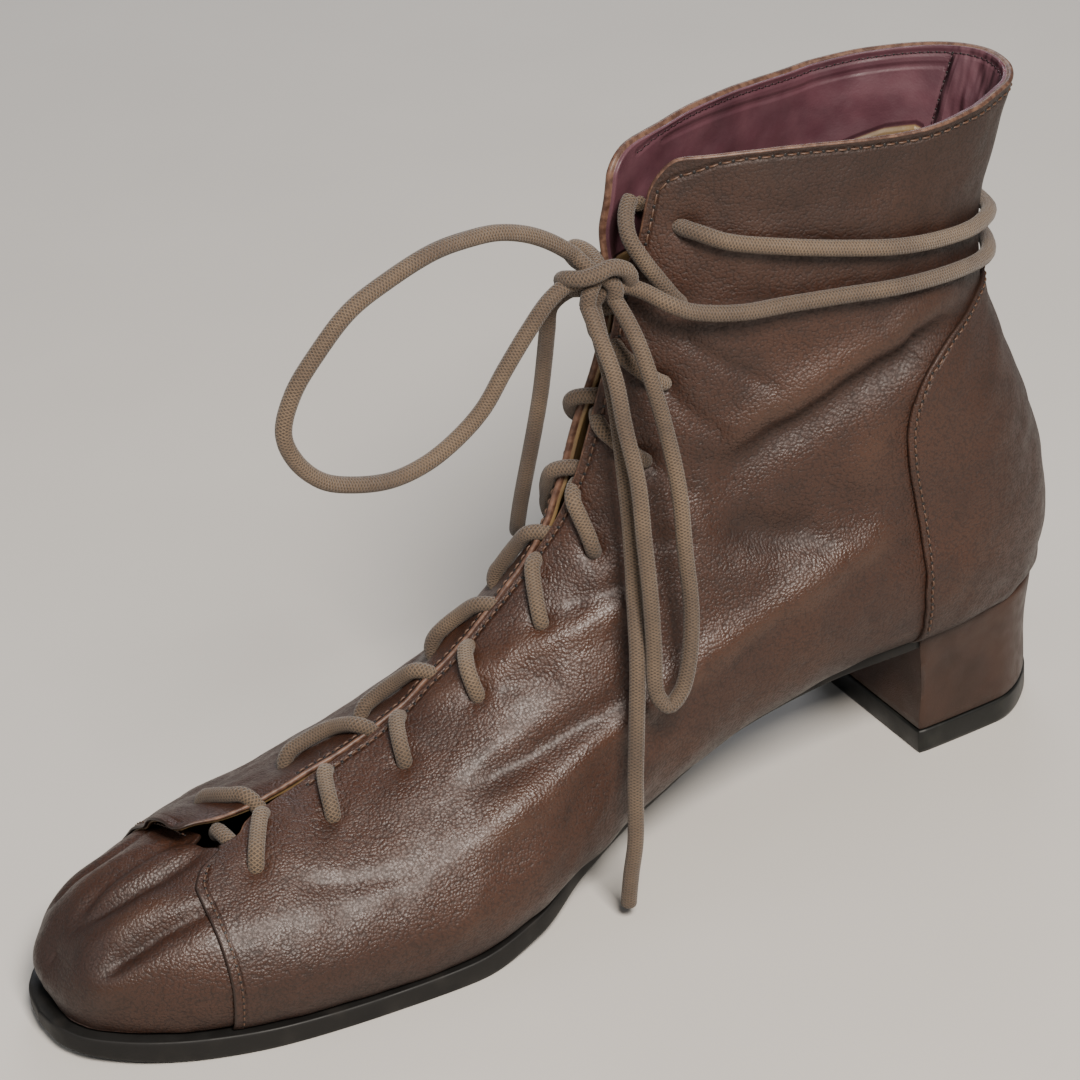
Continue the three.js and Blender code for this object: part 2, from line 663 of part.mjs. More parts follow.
// The short strand from inside the collar, over the inner edge and under the wrap, to the ninth hole.
const TOP_STRAND = [
  [23.9, -0.03, -3.5],
  [23.45, -0.06, -0.6],
  [22.9, -0.095, 2.4],
  [22.3, -0.14, 2.6],
  [21.75, -0.185, 2.4],
  [21.25, -0.22, 2.3],
];

// Free laces. Points are in the order that the lace runs from the knot.
const KNOT = { centre: [144.1, -5, 135], radii: [6.8, 5.4, 5.2] };
const BOW_LOOP = [
  [140.1, -3.8, 140.4], [132, -3.6, 147], [123, -4.4, 151], [115, -5, 152], [107, -6, 152], [97, -6, 149],
  [88, -6, 145], [80, -6, 138], [74, -6, 131], [71, -6, 123], [73, -6, 116], [78, -6, 110], [84, -6, 107],
  [93, -6, 105], [101, -6, 106], [108, -6, 109], [115, -6, 114], [121, -6, 121.5], [127, -6, 128.5],
  [132, -6, 133.5], [136.6, -6, 136],
];
const HANGING_LOOP = [
  [145.2, -9.6, 131.6], [146.5, -15, 125], [147, -19, 118], [148, -23, 106], [148, -27, 94], [147, -30, 81],
  [146, -33, 68], [143, -36, 58], [140, -37, 52], [137, -37, 50], [135, -36, 53], [136, -34, 63],
  [137, -32, 74], [138, -29, 86], [139, -26, 98], [139, -22, 109], [139.5, -18, 119], [139.4, -12.6, 126.6],
  [139.5, -8.6, 131.3],
];
const INNER_END = [
  [142.1, -6.1, 129.7], [142, -9, 122], [142, -12, 115], [141, -16, 105], [140, -19, 95], [138.6, -22.4, 83],
  [136.4, -26.2, 71], [133, -32, 60], [130, -35.5, 48], [127.5, -38, 36], [126, -39, 21], [125, -38, 12],
  [124.5, -37, 4],
];
const OUTER_END = [
  [140.05, -1.4, 132.1], [136.6, 1.8, 128], [136, 3, 122], [136, 5, 115], [135.4, 6.7, 106.4], [134.4, 8.5, 97.8],
  [133.5, 10.4, 90], [132.8, 12.5, 82.6], [132.6, 14.9, 75.9], [133, 17.6, 70], [134.2, 20.6, 66],
];

const points3 = (rows) => rows.map((row) => new THREE.Vector3(...row));

function buildKnot() {
  const knot = new THREE.SphereGeometry(1, 12, 8);
  knot.rotateX(Math.PI / 2);
  knot.scale(...KNOT.radii);
  knot.translate(...KNOT.centre);
  return solidOf(knot);
}

const FINISHES = {
  leather: { color: 0x4a3228, roughness: 0.38, metalness: 0 },
  insole: { color: 0x6b5140, roughness: 0.8, metalness: 0 },
  sole: { color: 0x14110f, roughness: 0.6, metalness: 0 },
  heel: { color: 0x5a3c2c, roughness: 0.5, metalness: 0 },
  lace: { color: 0x6e5a46, roughness: 0.75, metalness: 0 },
};

const boot = new THREE.Group();

function addPiece(name, solid, finish) {
  const piece = new THREE.Mesh(geometryOf(solid), new THREE.MeshStandardMaterial(FINISHES[finish]));
  piece.name = name;
  boot.add(piece);
}

addPiece('upper', buildUpper(), 'leather');
addPiece('insole', buildInsole(), 'insole');
addPiece('outsole', buildOutsole(), 'sole');
addPiece('heel', buildHeel(), 'heel');
addPiece('top_lift', buildLift(), 'sole');
laceHoles.slice(0, CROSSED_HOLES).forEach((hole, i) => {
  addPiece(`lace_crossing_${i + 1}`, buildCrossing(hole), 'lace');
});
addPiece('lace_top_strand', cordAlong(wrapPoints(TOP_STRAND, []), 8), 'lace');
addPiece('lace_wrap_inner', cordAlong(wrapPoints(INNER_WRAP, INNER_WRAP_END), 36), 'lace');
addPiece('lace_wrap_outer', cordAlong(wrapPoints(OUTER_WRAP, OUTER_WRAP_END), 36), 'lace');

// The frame: the origin is at the middle of the box round everything but the free laces, on the floor.
const box = new THREE.Box3().setFromObject(boot);
const middle = box.getCenter(new THREE.Vector3());

addPiece('lace_knot', buildKnot(), 'lace');
addPiece('lace_bow_loop', cordAlong(points3(BOW_LOOP), 30), 'lace');
addPiece('lace_hanging_loop', cordAlong(points3(HANGING_LOOP), 30), 'lace');
addPiece('lace_end_inner', cordAlong(points3(INNER_END), 20), 'lace');
addPiece('lace_end_outer', cordAlong(points3(OUTER_END), 14), 'lace');

boot.position.set(-middle.x, -middle.y, -box.min.z);
boot.updateMatrixWorld(true);

export default boot;
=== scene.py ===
"""Lace up ankle boot for the right foot, dressed in pebbled leather, linings, stitching and waxed laces.

Lengths in the tables and classes are millimetres in the shoe's own frame: X from the toe's tip to the heel,
-Y to the inner side of the foot, Z up from the floor. Every piece is moved into the row frame, in metres,
when its mesh is made.
"""

from __future__ import annotations

import logging
import math
from dataclasses import dataclass, field, replace
from enum import Enum
from functools import cache

import bpy
import numpy as np
from mathutils import Matrix, Vector

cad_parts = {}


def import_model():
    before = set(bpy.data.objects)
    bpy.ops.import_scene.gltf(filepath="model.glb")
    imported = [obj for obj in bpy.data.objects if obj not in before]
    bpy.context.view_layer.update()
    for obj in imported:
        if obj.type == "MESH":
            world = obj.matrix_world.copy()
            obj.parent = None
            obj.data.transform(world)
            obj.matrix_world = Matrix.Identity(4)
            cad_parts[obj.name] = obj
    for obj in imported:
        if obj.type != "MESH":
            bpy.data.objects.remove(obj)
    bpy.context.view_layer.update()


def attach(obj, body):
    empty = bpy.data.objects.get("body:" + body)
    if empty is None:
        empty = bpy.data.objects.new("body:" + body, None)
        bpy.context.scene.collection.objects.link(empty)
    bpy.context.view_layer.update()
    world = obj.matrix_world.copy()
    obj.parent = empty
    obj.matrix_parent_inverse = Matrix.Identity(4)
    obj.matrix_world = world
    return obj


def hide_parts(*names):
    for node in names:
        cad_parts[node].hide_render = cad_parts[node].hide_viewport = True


LOG = logging.getLogger("boot")
BODY = "root"
MILLIMETRE = 0.001
# Keeps a vector of no length from dividing by nothing.
TINY = 1e-12
# From the shoe's own frame to the row frame, whose origin is under the middle of the boot's box.
FRAME_SHIFT = np.array([-129.621, -0.209, 0.0])

Array = np.ndarray
Socket = bpy.types.NodeSocket
# From where to where a step goes, or two values that belong together, and a point.
Span = tuple[float, float]
Triple = tuple[float, float, float]
Pairs = tuple[Span, ...]
Triples = tuple[Triple, ...]

# The last as a fan of sections from the toe's stem to the collar, each from a base point on the feather line,
# or on the back seam, to a ridge point on the instep or front edge.
STATION_COLUMNS = (
    "base_x", "base_z", "ridge_x", "ridge_z", "bow", "feather_in", "feather_out", "wide_in", "wide_out",
    "wide_at", "crown_in", "crown_out", "ridge_y",
)
STATIONS = (
    (5, 7, 7.6, 18.5, 3.2, 0, 0, 0, 0, 0.46, 2, 2, 0),
    (5.6, 6.9, 9, 21, 2.9, 6.5, 5.5, 7, 6.6, 0.45, 2, 2, 0),
    (8, 6.7, 12.6, 25, 2.2, 12, 10.5, 13.4, 12.6, 0.43, 2, 1.8, -0.5),
    (15, 6.3, 20, 29.6, 1.2, 18.6, 18, 20.6, 20.2, 0.40, 1.9, 1.65, -1.2),
    (28, 5.6, 33, 34.4, 0.3, 25.6, 26, 28.4, 27.8, 0.37, 1.8, 1.5, -1.8),
    (46, 5, 48, 37.2, 0, 31, 33, 34.4, 35, 0.34, 1.75, 1.42, -1.8),
    (66, 4.8, 67, 40.4, 0, 33.6, 37, 37.4, 39.2, 0.32, 1.65, 1.34, -1.4),
    (86, 5.2, 86, 46, 0, 34.8, 38.6, 39, 40.8, 0.30, 1.6, 1.28, -1),
    (104, 6.8, 100.5, 53.2, 0, 31, 37.6, 37.4, 40, 0.30, 1.55, 1.26, -0.6),
    (120, 9.8, 110.5, 60.4, 0, 23, 35, 34, 38, 0.31, 1.55, 1.26, -0.4),
    (140, 15.4, 119.6, 68.2, 0, 17.6, 31.8, 30, 35.8, 0.32, 1.6, 1.3, -0.2),
    (164, 22.6, 126.6, 74.8, 0, 15, 28, 27.6, 32.6, 0.33, 1.6, 1.36, 0),
    (190, 28.6, 130.6, 80, 0, 17.4, 25.8, 27.4, 30.4, 0.34, 1.6, 1.42, 0),
    (214, 32, 133, 84.6, 0, 21.4, 24.8, 27.8, 29.8, 0.36, 1.6, 1.46, 0),
    (234, 33.4, 134.8, 89, 0, 21, 22.4, 27.8, 29, 0.35, 1.6, 1.5, 0),
    (246, 33.7, 136.2, 93, 0, 14.4, 14.8, 27.6, 28.4, 0.32, 1.6, 1.5, 0),
    (251.4, 33.7, 137.4, 97, 0, 6.6, 6.6, 27.4, 28, 0.29, 1.6, 1.5, 0),
    (253, 33.8, 138.8, 101, 0, 0, 0, 27, 27.6, 0.27, 1.6, 1.5, 0),
    (255.4, 42, 140.6, 106, 0, 0, 0, 27, 27.4, 0.26, 1.6, 1.5, 0),
    (255.6, 56, 143.2, 113, 0, 0, 0, 26.6, 27, 0.28, 1.6, 1.5, 0),
    (251.4, 73, 146, 121, 0, 0, 0, 25.6, 26.2, 0.32, 1.6, 1.5, 0),
    (244.6, 92, 148.4, 129, 0, 0, 0, 24, 24.8, 0.36, 1.55, 1.5, 0),
    (239.4, 109, 150.2, 136, 0, 0, 0, 22.8, 23.4, 0.38, 1.5, 1.46, 0),
    (238.8, 125, 151.6, 142.6, 0, 0, 0, 22.2, 22.6, 0.37, 1.5, 1.42, 0),
    (242.4, 141, 152.6, 148.4, 0, 0, 0, 22.4, 22.2, 0.36, 1.5, 1.38, 0),
    (247.4, 155.2, 153.4, 153.6, 0, 0, 0, 22.8, 22.6, 0.36, 1.5, 1.36, 0),
)
COLLAR_ROW = len(STATIONS) - 1
BACK_ROW = 17
LOWER_SHARE = 0.36
CENTRE_Y = -0.9

# The throat's two edges, as shares of the girth from the ridge: negative on the inner side.
THROAT_COLUMNS = ("row", "in_edge", "out_edge")
THROAT = (
    (0, -0.08, 0.08), (3, -0.085, 0.06), (4.5, -0.105, 0.03), (5, -0.1, 0.005), (5.5, -0.058, 0.002),
    (6.2, -0.035, 0.022), (9, -0.03, 0.028), (11, -0.045, 0.042), (13, -0.065, 0.062), (16, -0.077, 0.08),
    (21, -0.077, 0.085), (22.8, -0.125, 0.1), (24.3, -0.137, 0.1), (24.6, -0.146, 0.115),
    (24.75, -0.157, 0.13), (24.9, -0.178, 0.153), (24.96, -0.193, 0.169), (25, -0.212, 0.19),
)

# The seam where the quarters lie over the toe piece.
TOE_SEAM_COLUMNS = ("around", "row")
TOE_SEAM = (
    (-1, 4.42), (-0.8, 4.39), (-0.4, 4.3), (-0.215, 4.26), (-0.155, 4.42), (-0.105, 4.8), (-0.06, 4.6),
    (0.03, 4.47), (0.1, 4.42), (0.25, 4.38), (0.6, 4.38), (1, 4.42),
)

# The counter's front seam: how high it is at each row, as a share of the line from base to ridge.
COUNTER_COLUMNS = ("row", "height")
COUNTER_SEAM = (
    (12.75, 0.003), (13.15, 0.09), (13.6, 0.172), (14.7, 0.288), (16.05, 0.363), (17.1, 0.391), (18, 0.41),
    (19, 0.427), (19.45, 0.428), (19.85, 0.42), (20.3, 0.395), (20.65, 0.36), (20.95, 0.317),
    (21.25, 0.263), (21.5, 0.204), (21.85, 0.103), (22.1, 0.029), (22.3, 0.001),
)

# Rows of the lace holes from the throat's base to the collar, and how far round from the ridge they are.
LACE_HOLES = (
    (5.05, 0.205), (6.05, 0.175), (7, 0.16), (8.35, 0.17), (10, 0.19), (12, 0.19), (16.5, 0.195),
    (19.2, 0.2), (21.2, 0.223), (23.3, 0.223),
)


def smooth_step(value: Array, low: float, high: float) -> Array:
    """Rise from 0 at low to 1 at high as t * t * (3 - 2 t)."""
    share = np.clip((np.asarray(value, float) - low) / (high - low), 0.0, 1.0)
    return share * share * (3.0 - 2.0 * share)


class SmoothTable:
    """Named columns of a short table, read by cubic curves that never overshoot its values."""

    def __init__(self, columns: tuple[str, ...], rows: tuple[tuple[float, ...], ...], key: str = "") -> None:
        """Work out the slopes: at an inner row, the harmonic mean of the rises before and after it.

        Args:
            columns: The columns' names.
            rows: The table's rows.
            key: The column to read the others by, or none for the row's number.
        """
        values = np.array(rows, float)
        self.columns = {name: number for number, name in enumerate(columns)}
        self.keys = values[:, self.columns[key]] if key else np.arange(len(rows), dtype=float)
        self.values = values
        rise = np.diff(values, axis=0) / np.diff(self.keys)[:, None]
        before, after = rise[:-1], rise[1:]
        total = np.where(before * after > 0, before + after, 1.0)
        inner = np.where(before * after > 0, 2.0 * before * after / total, 0.0)
        self.slopes = np.vstack([rise[:1], inner, rise[-1:]])
        self.arrivals = self.slopes.copy()

    def arrive(self, row: int, name: str, slope: float) -> None:
        """Let a column's curve come to a row with another slope than it leaves it with."""
        self.arrivals[row, self.columns[name]] = slope

    def read(self, name: str, at: Array) -> Array:
        """Read one column on its cubic curve.

        Args:
            name: The column.
            at: Keys to read it at.

        Returns:
            The column's values there.
        """
        column = self.columns[name]
        at = np.asarray(at, float)
        cell = np.clip(np.searchsorted(self.keys, at, side="right") - 1, 0, len(self.keys) - 2)
        width = self.keys[cell + 1] - self.keys[cell]
        t = (at - self.keys[cell]) / width
        low, high = self.values[cell, column], self.values[cell + 1, column]
        keep = (1 + 2 * t) * (1 - t) ** 2 * low + t * t * (3 - 2 * t) * high
        leave, arrive = self.slopes[cell, column], self.arrivals[cell + 1, column]
        return keep + width * (t * (1 - t) ** 2 * leave - t * t * (1 - t) * arrive)


def unit(vectors: Array) -> Array:
    """Each vector divided by its length."""
    return vectors / np.maximum(np.linalg.norm(vectors, axis=-1, keepdims=True), TINY)


def run_length(points: Array) -> Array:
    """How far along a path of straight steps each of its points is."""
    return np.concatenate([[0.0], np.cumsum(np.linalg.norm(np.diff(points, axis=0), axis=1))])


def between_places(places: Pairs, steps: int) -> tuple[Array, Array]:
    """Rows and shares of girth close together along a few places, with that many points for each place."""
    keys = np.array(places, float)
    share, fine = np.linspace(0, 1, len(keys)), np.linspace(0, 1, len(keys) * steps)
    return np.interp(fine, share, keys[:, 0]), np.interp(fine, share, keys[:, 1])


def from_line(points: Array, line: Array, reach: float) -> tuple[Array, ...]:
    """The shortest ways from each step of a line to the points near it.

    On a step from a to b, the nearest place to p is a + t (b - a) with t = (p - a).(b - a) / |b - a|^2,
    held between 0 and 1.

    Args:
        points: The points.
        line: The line's points.
        reach: How far outside the line's box a point may be, in millimetres.

    Returns:
        Which points are near, and for each of them and each step t and the way from the place to the point.
    """
    near = np.all((points > line.min(axis=0) - reach) & (points < line.max(axis=0) + reach), axis=1)
    start, span = line[:-1], np.diff(line, axis=0)
    offset = points[near][:, None, :] - start[None]
    t = np.clip((offset * span).sum(-1) / (span * span).sum(-1), 0, 1)
    return near, t, offset - t[..., None] * span


@dataclass
class Last:
    """The shape that every piece of the boot is cut from."""

    ease_rows: tuple[float, float, float, float] = (12.5, 14.5, 19.0, 21.0)
    ease_spread: tuple[float, ...] = (-1.8, -1.2, -0.6, 0.0, 0.6, 1.2, 1.8)
    step: float = 0.01
    fine_rows: int = 4
    girth_ends: float = 0.95
    girth_points: int = 25
    station: SmoothTable = field(default_factory=lambda: SmoothTable(STATION_COLUMNS, STATIONS))
    seat: SmoothTable = field(default_factory=lambda: SmoothTable(STATION_COLUMNS, STATIONS))
    throat: SmoothTable = field(default_factory=lambda: SmoothTable(THROAT_COLUMNS, THROAT, "row"))
    toe_seam: SmoothTable = field(default_factory=lambda: SmoothTable(TOE_SEAM_COLUMNS, TOE_SEAM, "around"))
    counter: SmoothTable = field(default_factory=lambda: SmoothTable(COUNTER_COLUMNS, COUNTER_SEAM, "row"))
    heel_round: float = 1.15

    def __post_init__(self) -> None:
        """Bring the seat's feather line straight across the foot at the back seam, so that it has no cusp."""
        self.seat.arrive(BACK_ROW, "base_x", 0.0)
        for column in ("feather_in", "feather_out"):
            before = float(self.seat.read(column, BACK_ROW - 1))
            self.seat.arrive(BACK_ROW, column, -self.heel_round * before)

    def base(self, row: Array, grip: Array) -> tuple[Array, Array]:
        """The section's base point, eased away from the feather line's corner round the heel.

        Args:
            row: Rows of the sections.
            grip: 1 at the feather line, where the corner is kept, and 0 higher up.

        Returns:
            Its x and z.
        """
        first, full, fade, last = self.ease_rows
        amount = smooth_step(row, first, full) * (1 - smooth_step(row, fade, last)) * (1 - grip)
        result = []
        for name in ("base_x", "base_z"):
            exact = self.seat.read(name, row)
            eased = sum(self.station.read(name, row + spread) for spread in self.ease_spread)
            result.append(exact + (eased / len(self.ease_spread) - exact) * amount)
        return result[0], result[1]

    def point(self, row: Array, around: Array) -> Array:
        """Points of the last's skin.

        Below the widest point a section's half width goes from the feather line's to the widest as a quarter
        sine, and above it it falls to the ridge as a superellipse. Its line leans from base to ridge.

        Args:
            row: Row of each point.
            around: Share of girth, from -1 at the inner base over 0 at the ridge to 1 at the outer base.

        Returns:
            The points, with one more axis than the rows.
        """
        row, around = np.broadcast_arrays(np.asarray(row, float), np.asarray(around, float))
        at = {name: self.station.read(name, row) for name in STATION_COLUMNS[2:]}
        inner = around < 0
        feather = np.where(inner, self.seat.read("feather_in", row), self.seat.read("feather_out", row))
        wide = np.where(inner, at["wide_in"], at["wide_out"])
        crown = np.where(inner, at["crown_in"], at["crown_out"])
        up = 1 - np.abs(around)
        low = up < LOWER_SHARE
        below = np.clip(up / LOWER_SHARE, 0, 1) * math.pi / 2
        above = np.clip((up - LOWER_SHARE) / (1 - LOWER_SHARE), 0, 1) * math.pi / 2
        across = np.where(
            low,
            feather + (wide - feather) * np.sin(below),
            wide * np.maximum(0, np.cos(above)) ** (2 / crown),
        )
        share = np.where(
            low,
            at["wide_at"] * (1 - np.cos(below)),
            at["wide_at"] + (1 - at["wide_at"]) * np.sin(above) ** (2 / crown),
        )
        grip = np.where(low, (1 - np.sin(below)) ** 2, 0.0)
        base_x, base_z = self.base(row, grip)
        line_x, line_z = at["ridge_x"] - base_x, at["ridge_z"] - base_z
        length = np.hypot(line_x, line_z)
        bow = at["bow"] * np.sin(math.pi * np.clip(share, 0, 1))
        side = np.where(inner, -1.0, 1.0)
        return np.stack(
            [
                base_x + line_x * share - line_z / length * bow,
                side * across + at["ridge_y"] * share * share + CENTRE_Y,
                base_z + line_z * share + line_x / length * bow,
            ],
            axis=-1,
        )

    def plain_normal(self, row: Array, around: Array) -> Array:
        """Outward directions from central differences along the row and round the girth.

        Args:
            row: Row of each point.
            around: Share of girth of each point.

        Returns:
            Unit vectors.
        """
        low, high = np.maximum(0, row - self.step), np.minimum(COLLAR_ROW, row + self.step)
        left, right = np.maximum(-1, around - self.step), np.minimum(1, around + self.step)
        along = self.point(high, around) - self.point(low, around)
        girth = self.point(row, right) - self.point(row, left)
        return unit(np.cross(along, girth))

    def canonical(self, row: Array, around: Array) -> tuple[Array, Array]:
        """Take a place on the stem or on the back seam to its outer side.

        Args:
            row: Row of each point.
            around: Share of girth of each point.

        Returns:
            The same rows, and the shares of girth with one sign where both sides are one.
        """
        row, around = np.broadcast_arrays(np.asarray(row, float), np.asarray(around, float))
        shared = (row < self.step) | self.on_back_seam(row, around)
        return row, np.where(shared, np.abs(around), around)

    def on_back_seam(self, row: Array, around: Array) -> Array:
        """Whether each place is on the back seam."""
        return (np.abs(around) > 1 - self.step / 10) & (row > BACK_ROW - self.step)

    def normal(self, row: Array, around: Array) -> Array:
        """Outward directions, averaged over both sides at the toe's stem and the back seam.

        Args:
            row: Row of each point.
            around: Share of girth of each point.

        Returns:
            Unit vectors.
        """
        row, around = np.broadcast_arrays(np.asarray(row, float), np.asarray(around, float))
        on_stem = row < self.step
        seam = self.on_back_seam(row, around)
        inside = np.where(on_stem, 2 * self.step, row)
        plain = self.plain_normal(inside, around)
        other = self.plain_normal(inside, np.where(seam | on_stem, -around, around))
        return unit(plain + other)

    def counter_front(self, row: Array, inner: Array | bool) -> Array:
        """The counter's front seam as a share of girth, from its height by the section's own curve.

        Args:
            row: Rows, held within the seam's ends.
            inner: Whether each place is on the inner side.

        Returns:
            How much of the girth lies in front of the counter.
        """
        row = np.clip(row, COUNTER_SEAM[0][0], COUNTER_SEAM[-1][0])
        height = np.clip(self.counter.read("height", row), 0, 1)
        wide_at = self.station.read("wide_at", row)
        crown = np.where(inner, self.station.read("crown_in", row), self.station.read("crown_out", row))
        below = np.arccos(1 - np.minimum(height / wide_at, 1))
        above = np.arcsin(np.maximum(0, (height - wide_at) / (1 - wide_at)) ** (crown / 2))
        low, high = below * LOWER_SHARE, above * (1 - LOWER_SHARE) + LOWER_SHARE * math.pi / 2
        return 1 - np.where(height < wide_at, low, high) * 2 / math.pi

    def row_lines(self, first: float, last: float, count: int) -> Array:
        """Rows between two rows, spaced evenly by how far the skin goes between them.

        Args:
            first: The first row.
            last: The last row.
            count: How many rows.

        Returns:
            The rows.
        """
        fine = np.linspace(first, last, count * self.fine_rows)
        around = np.linspace(-self.girth_ends, self.girth_ends, self.girth_points)
        points = self.point(fine[:, None], around[None, :])
        gaps = np.linalg.norm(np.diff(points, axis=0), axis=-1)
        length = np.concatenate([[0.0], np.cumsum(np.sqrt((gaps**2).mean(axis=1)))])
        return np.interp(np.linspace(0, length[-1], count), length, fine)


LAST = Last()
# How finely a fold's path is followed, how many widths away it still acts, and the same for a seam.
FOLD_STEPS = 5
FOLD_REACH = 4.0
SEAM_STEPS = 8


@dataclass(frozen=True)
class Fold:
    """A ridge, or a trough where its height is negative, along given points of the skin."""

    path: Pairs
    height: float
    width: float
    lean: float = 0.0
    fade: float = 0.25
    puff: float = 0.0
    puff_at: float = 2.0
    puff_width: float = 2.2

    def mirrored(self, share: float) -> Fold:
        """The same fold on the other side of the foot, with a share of its height."""
        path = tuple((row, -around) for row, around in self.path)
        height, puff = self.height * share, self.puff * share
        return replace(self, path=path, height=height, lean=-self.lean, puff=puff, puff_at=-self.puff_at)

    def heights(self, points: Array, normals: Array) -> Array:
        """How far the fold moves each point outwards.

        The height falls off as exp(-(d / w)^2) with the distance d to the path. The width w is larger on one
        side than on the other by the fold's lean, and the height fades out towards both ends of the path. A
        puff beside it has the same form round a line that runs at its own distance from the path.

        Args:
            points: Points of the skin.
            normals: Their outward directions.

        Returns:
            The move of each point, in millimetres.
        """
        line = LAST.point(*between_places(self.path, FOLD_STEPS))
        near, t, away = from_line(points, line, FOLD_REACH * self.width)
        distance = np.linalg.norm(away, axis=-1)
        nearest = distance.argmin(axis=1)
        pick = np.arange(len(nearest))
        along = (nearest + t[pick, nearest]) / (len(line) - 1)
        across = np.cross(normals[near], unit(np.diff(line, axis=0)[nearest]))
        side = np.sign((away[pick, nearest] * across).sum(-1))
        width = self.width * (1 + self.lean * side)
        ends = smooth_step(along, 0, self.fade) * smooth_step(1 - along, 0, self.fade)
        gap = distance[pick, nearest]
        shape = self.height * np.exp(-((gap / width) ** 2))
        shape += self.puff * np.exp(-(((gap * side - self.puff_at) / self.puff_width) ** 2))
        result = np.zeros(len(points))
        result[near] = shape * ends
        return result


@dataclass(frozen=True)
class Undulation:
    """Soft unevenness of worn leather, as a sum of plane waves in fixed directions."""

    height: float
    length: float
    waves: int = 14
    seed: int = 7
    spread: Span = (0.6, 1.6)

    def heights(self, points: Array) -> Array:
        """The sum of the waves at each point, scaled so that its usual size is the height.

        Args:
            points: Points of the skin.

        Returns:
            The move of each point, in millimetres.
        """
        random = np.random.default_rng(self.seed)
        directions = unit(random.normal(size=(self.waves, 3)))
        lengths = self.length * random.uniform(*self.spread, self.waves)
        phases = random.uniform(0, 2 * math.pi, self.waves)
        turns = points @ (directions / lengths[:, None]).T * 2 * math.pi + phases
        return self.height * np.sin(turns).sum(axis=1) * math.sqrt(2 / self.waves)


@dataclass
class MeshParts:
    """Vertices and faces of a piece, with what its materials read."""

    vertices: Array
    quads: Array
    layer: Array
    values: dict[str, Array] = field(default_factory=dict)


def closed_shell(
    outer: Array,
    inner: Array,
    quads: Array,
    rim: Pairs,
    values: dict[str, Array] | None = None,
) -> MeshParts:
    """Close the wall between two faces of the same cells with a rounded rim along every open edge.

    Rim loop k lies at outer + depth_k * (inner - outer) + reach_k * away, where away points along the skin,
    out of the piece, at right angles to its edge.

    Args:
        outer: Points of the outer face.
        inner: Points of the inner face.
        quads: Cells as four point numbers each, anticlockwise from outside.
        rim: Depth as a share of the wall and reach in millimetres, for each loop from outside to inside.
        values: Named values of each point, the same on both faces.

    Returns:
        The closed mesh. Its layer is 0 on the outer face, 1 on the inner face, and on the rim 2 upwards.
    """
    keys, first, index = np.unique(np.round(outer, 4), axis=0, return_index=True, return_inverse=True)
    index = index.reshape(-1)
    outer, inner = outer[first], inner[first]
    values = {name: value[first] for name, value in (values or {}).items()}
    quads = index[quads]
    count = len(outer)
    edges = np.concatenate([quads[:, [k, (k + 1) % 4]] for k in range(4)])
    edges = edges[edges[:, 0] != edges[:, 1]]
    codes = edges[:, 0] * count + edges[:, 1]
    border = edges[~np.isin(codes, edges[:, 1] * count + edges[:, 0])]
    thickness = outer - inner
    away = np.zeros_like(outer)
    outwards = np.cross(unit(outer[border[:, 1]] - outer[border[:, 0]]), unit(thickness[border[:, 0]]))
    np.add.at(away, border[:, 0], outwards)
    np.add.at(away, border[:, 1], outwards)
    away = unit(away)
    on_border = np.unique(border)
    place = np.full(count, -1)
    place[on_border] = np.arange(len(on_border))
    skin, wall, reaching = outer[on_border], thickness[on_border], away[on_border]
    loops = [skin - depth * wall + reach * reaching for depth, reach in rim]
    vertices = np.concatenate([outer, inner, *loops])
    starts = [0] + [2 * count + k * len(on_border) for k in range(len(rim))] + [count]
    numbers = [np.arange(count)] + [place] * len(rim) + [np.arange(count)]
    faces = [quads, quads[:, ::-1] + count]
    layers = [np.zeros(len(quads), int), np.ones(len(quads), int)]
    for k in range(len(rim) + 1):
        above = numbers[k][border] + starts[k]
        below = numbers[k + 1][border] + starts[k + 1]
        faces.append(np.stack([above[:, 1], above[:, 0], below[:, 0], below[:, 1]], axis=1))
        layers.append(np.full(len(border), 2 + k))
    spread = {
        name: np.concatenate([value, value] + [value[on_border]] * len(rim)) for name, value in values.items()
    }
    return MeshParts(vertices, np.concatenate(faces), np.concatenate(layers), spread)


def grid_quads(lines: int, columns: int, copies: int = 1) -> Array:
    """Cells of grids, anticlockwise seen from outside for lines up the last and columns round it.

    Args:
        lines: Number of lines.
        columns: Number of points on each line.
        copies: How many such grids follow each other.

    Returns:
        Four point numbers for each cell.
    """
    corner = np.arange(lines * columns * copies).reshape(copies, lines, columns)
    ring = [corner[:, :-1, :-1], corner[:, 1:, :-1], corner[:, 1:, 1:], corner[:, :-1, 1:]]
    return np.stack(ring, axis=-1).reshape(-1, 4)


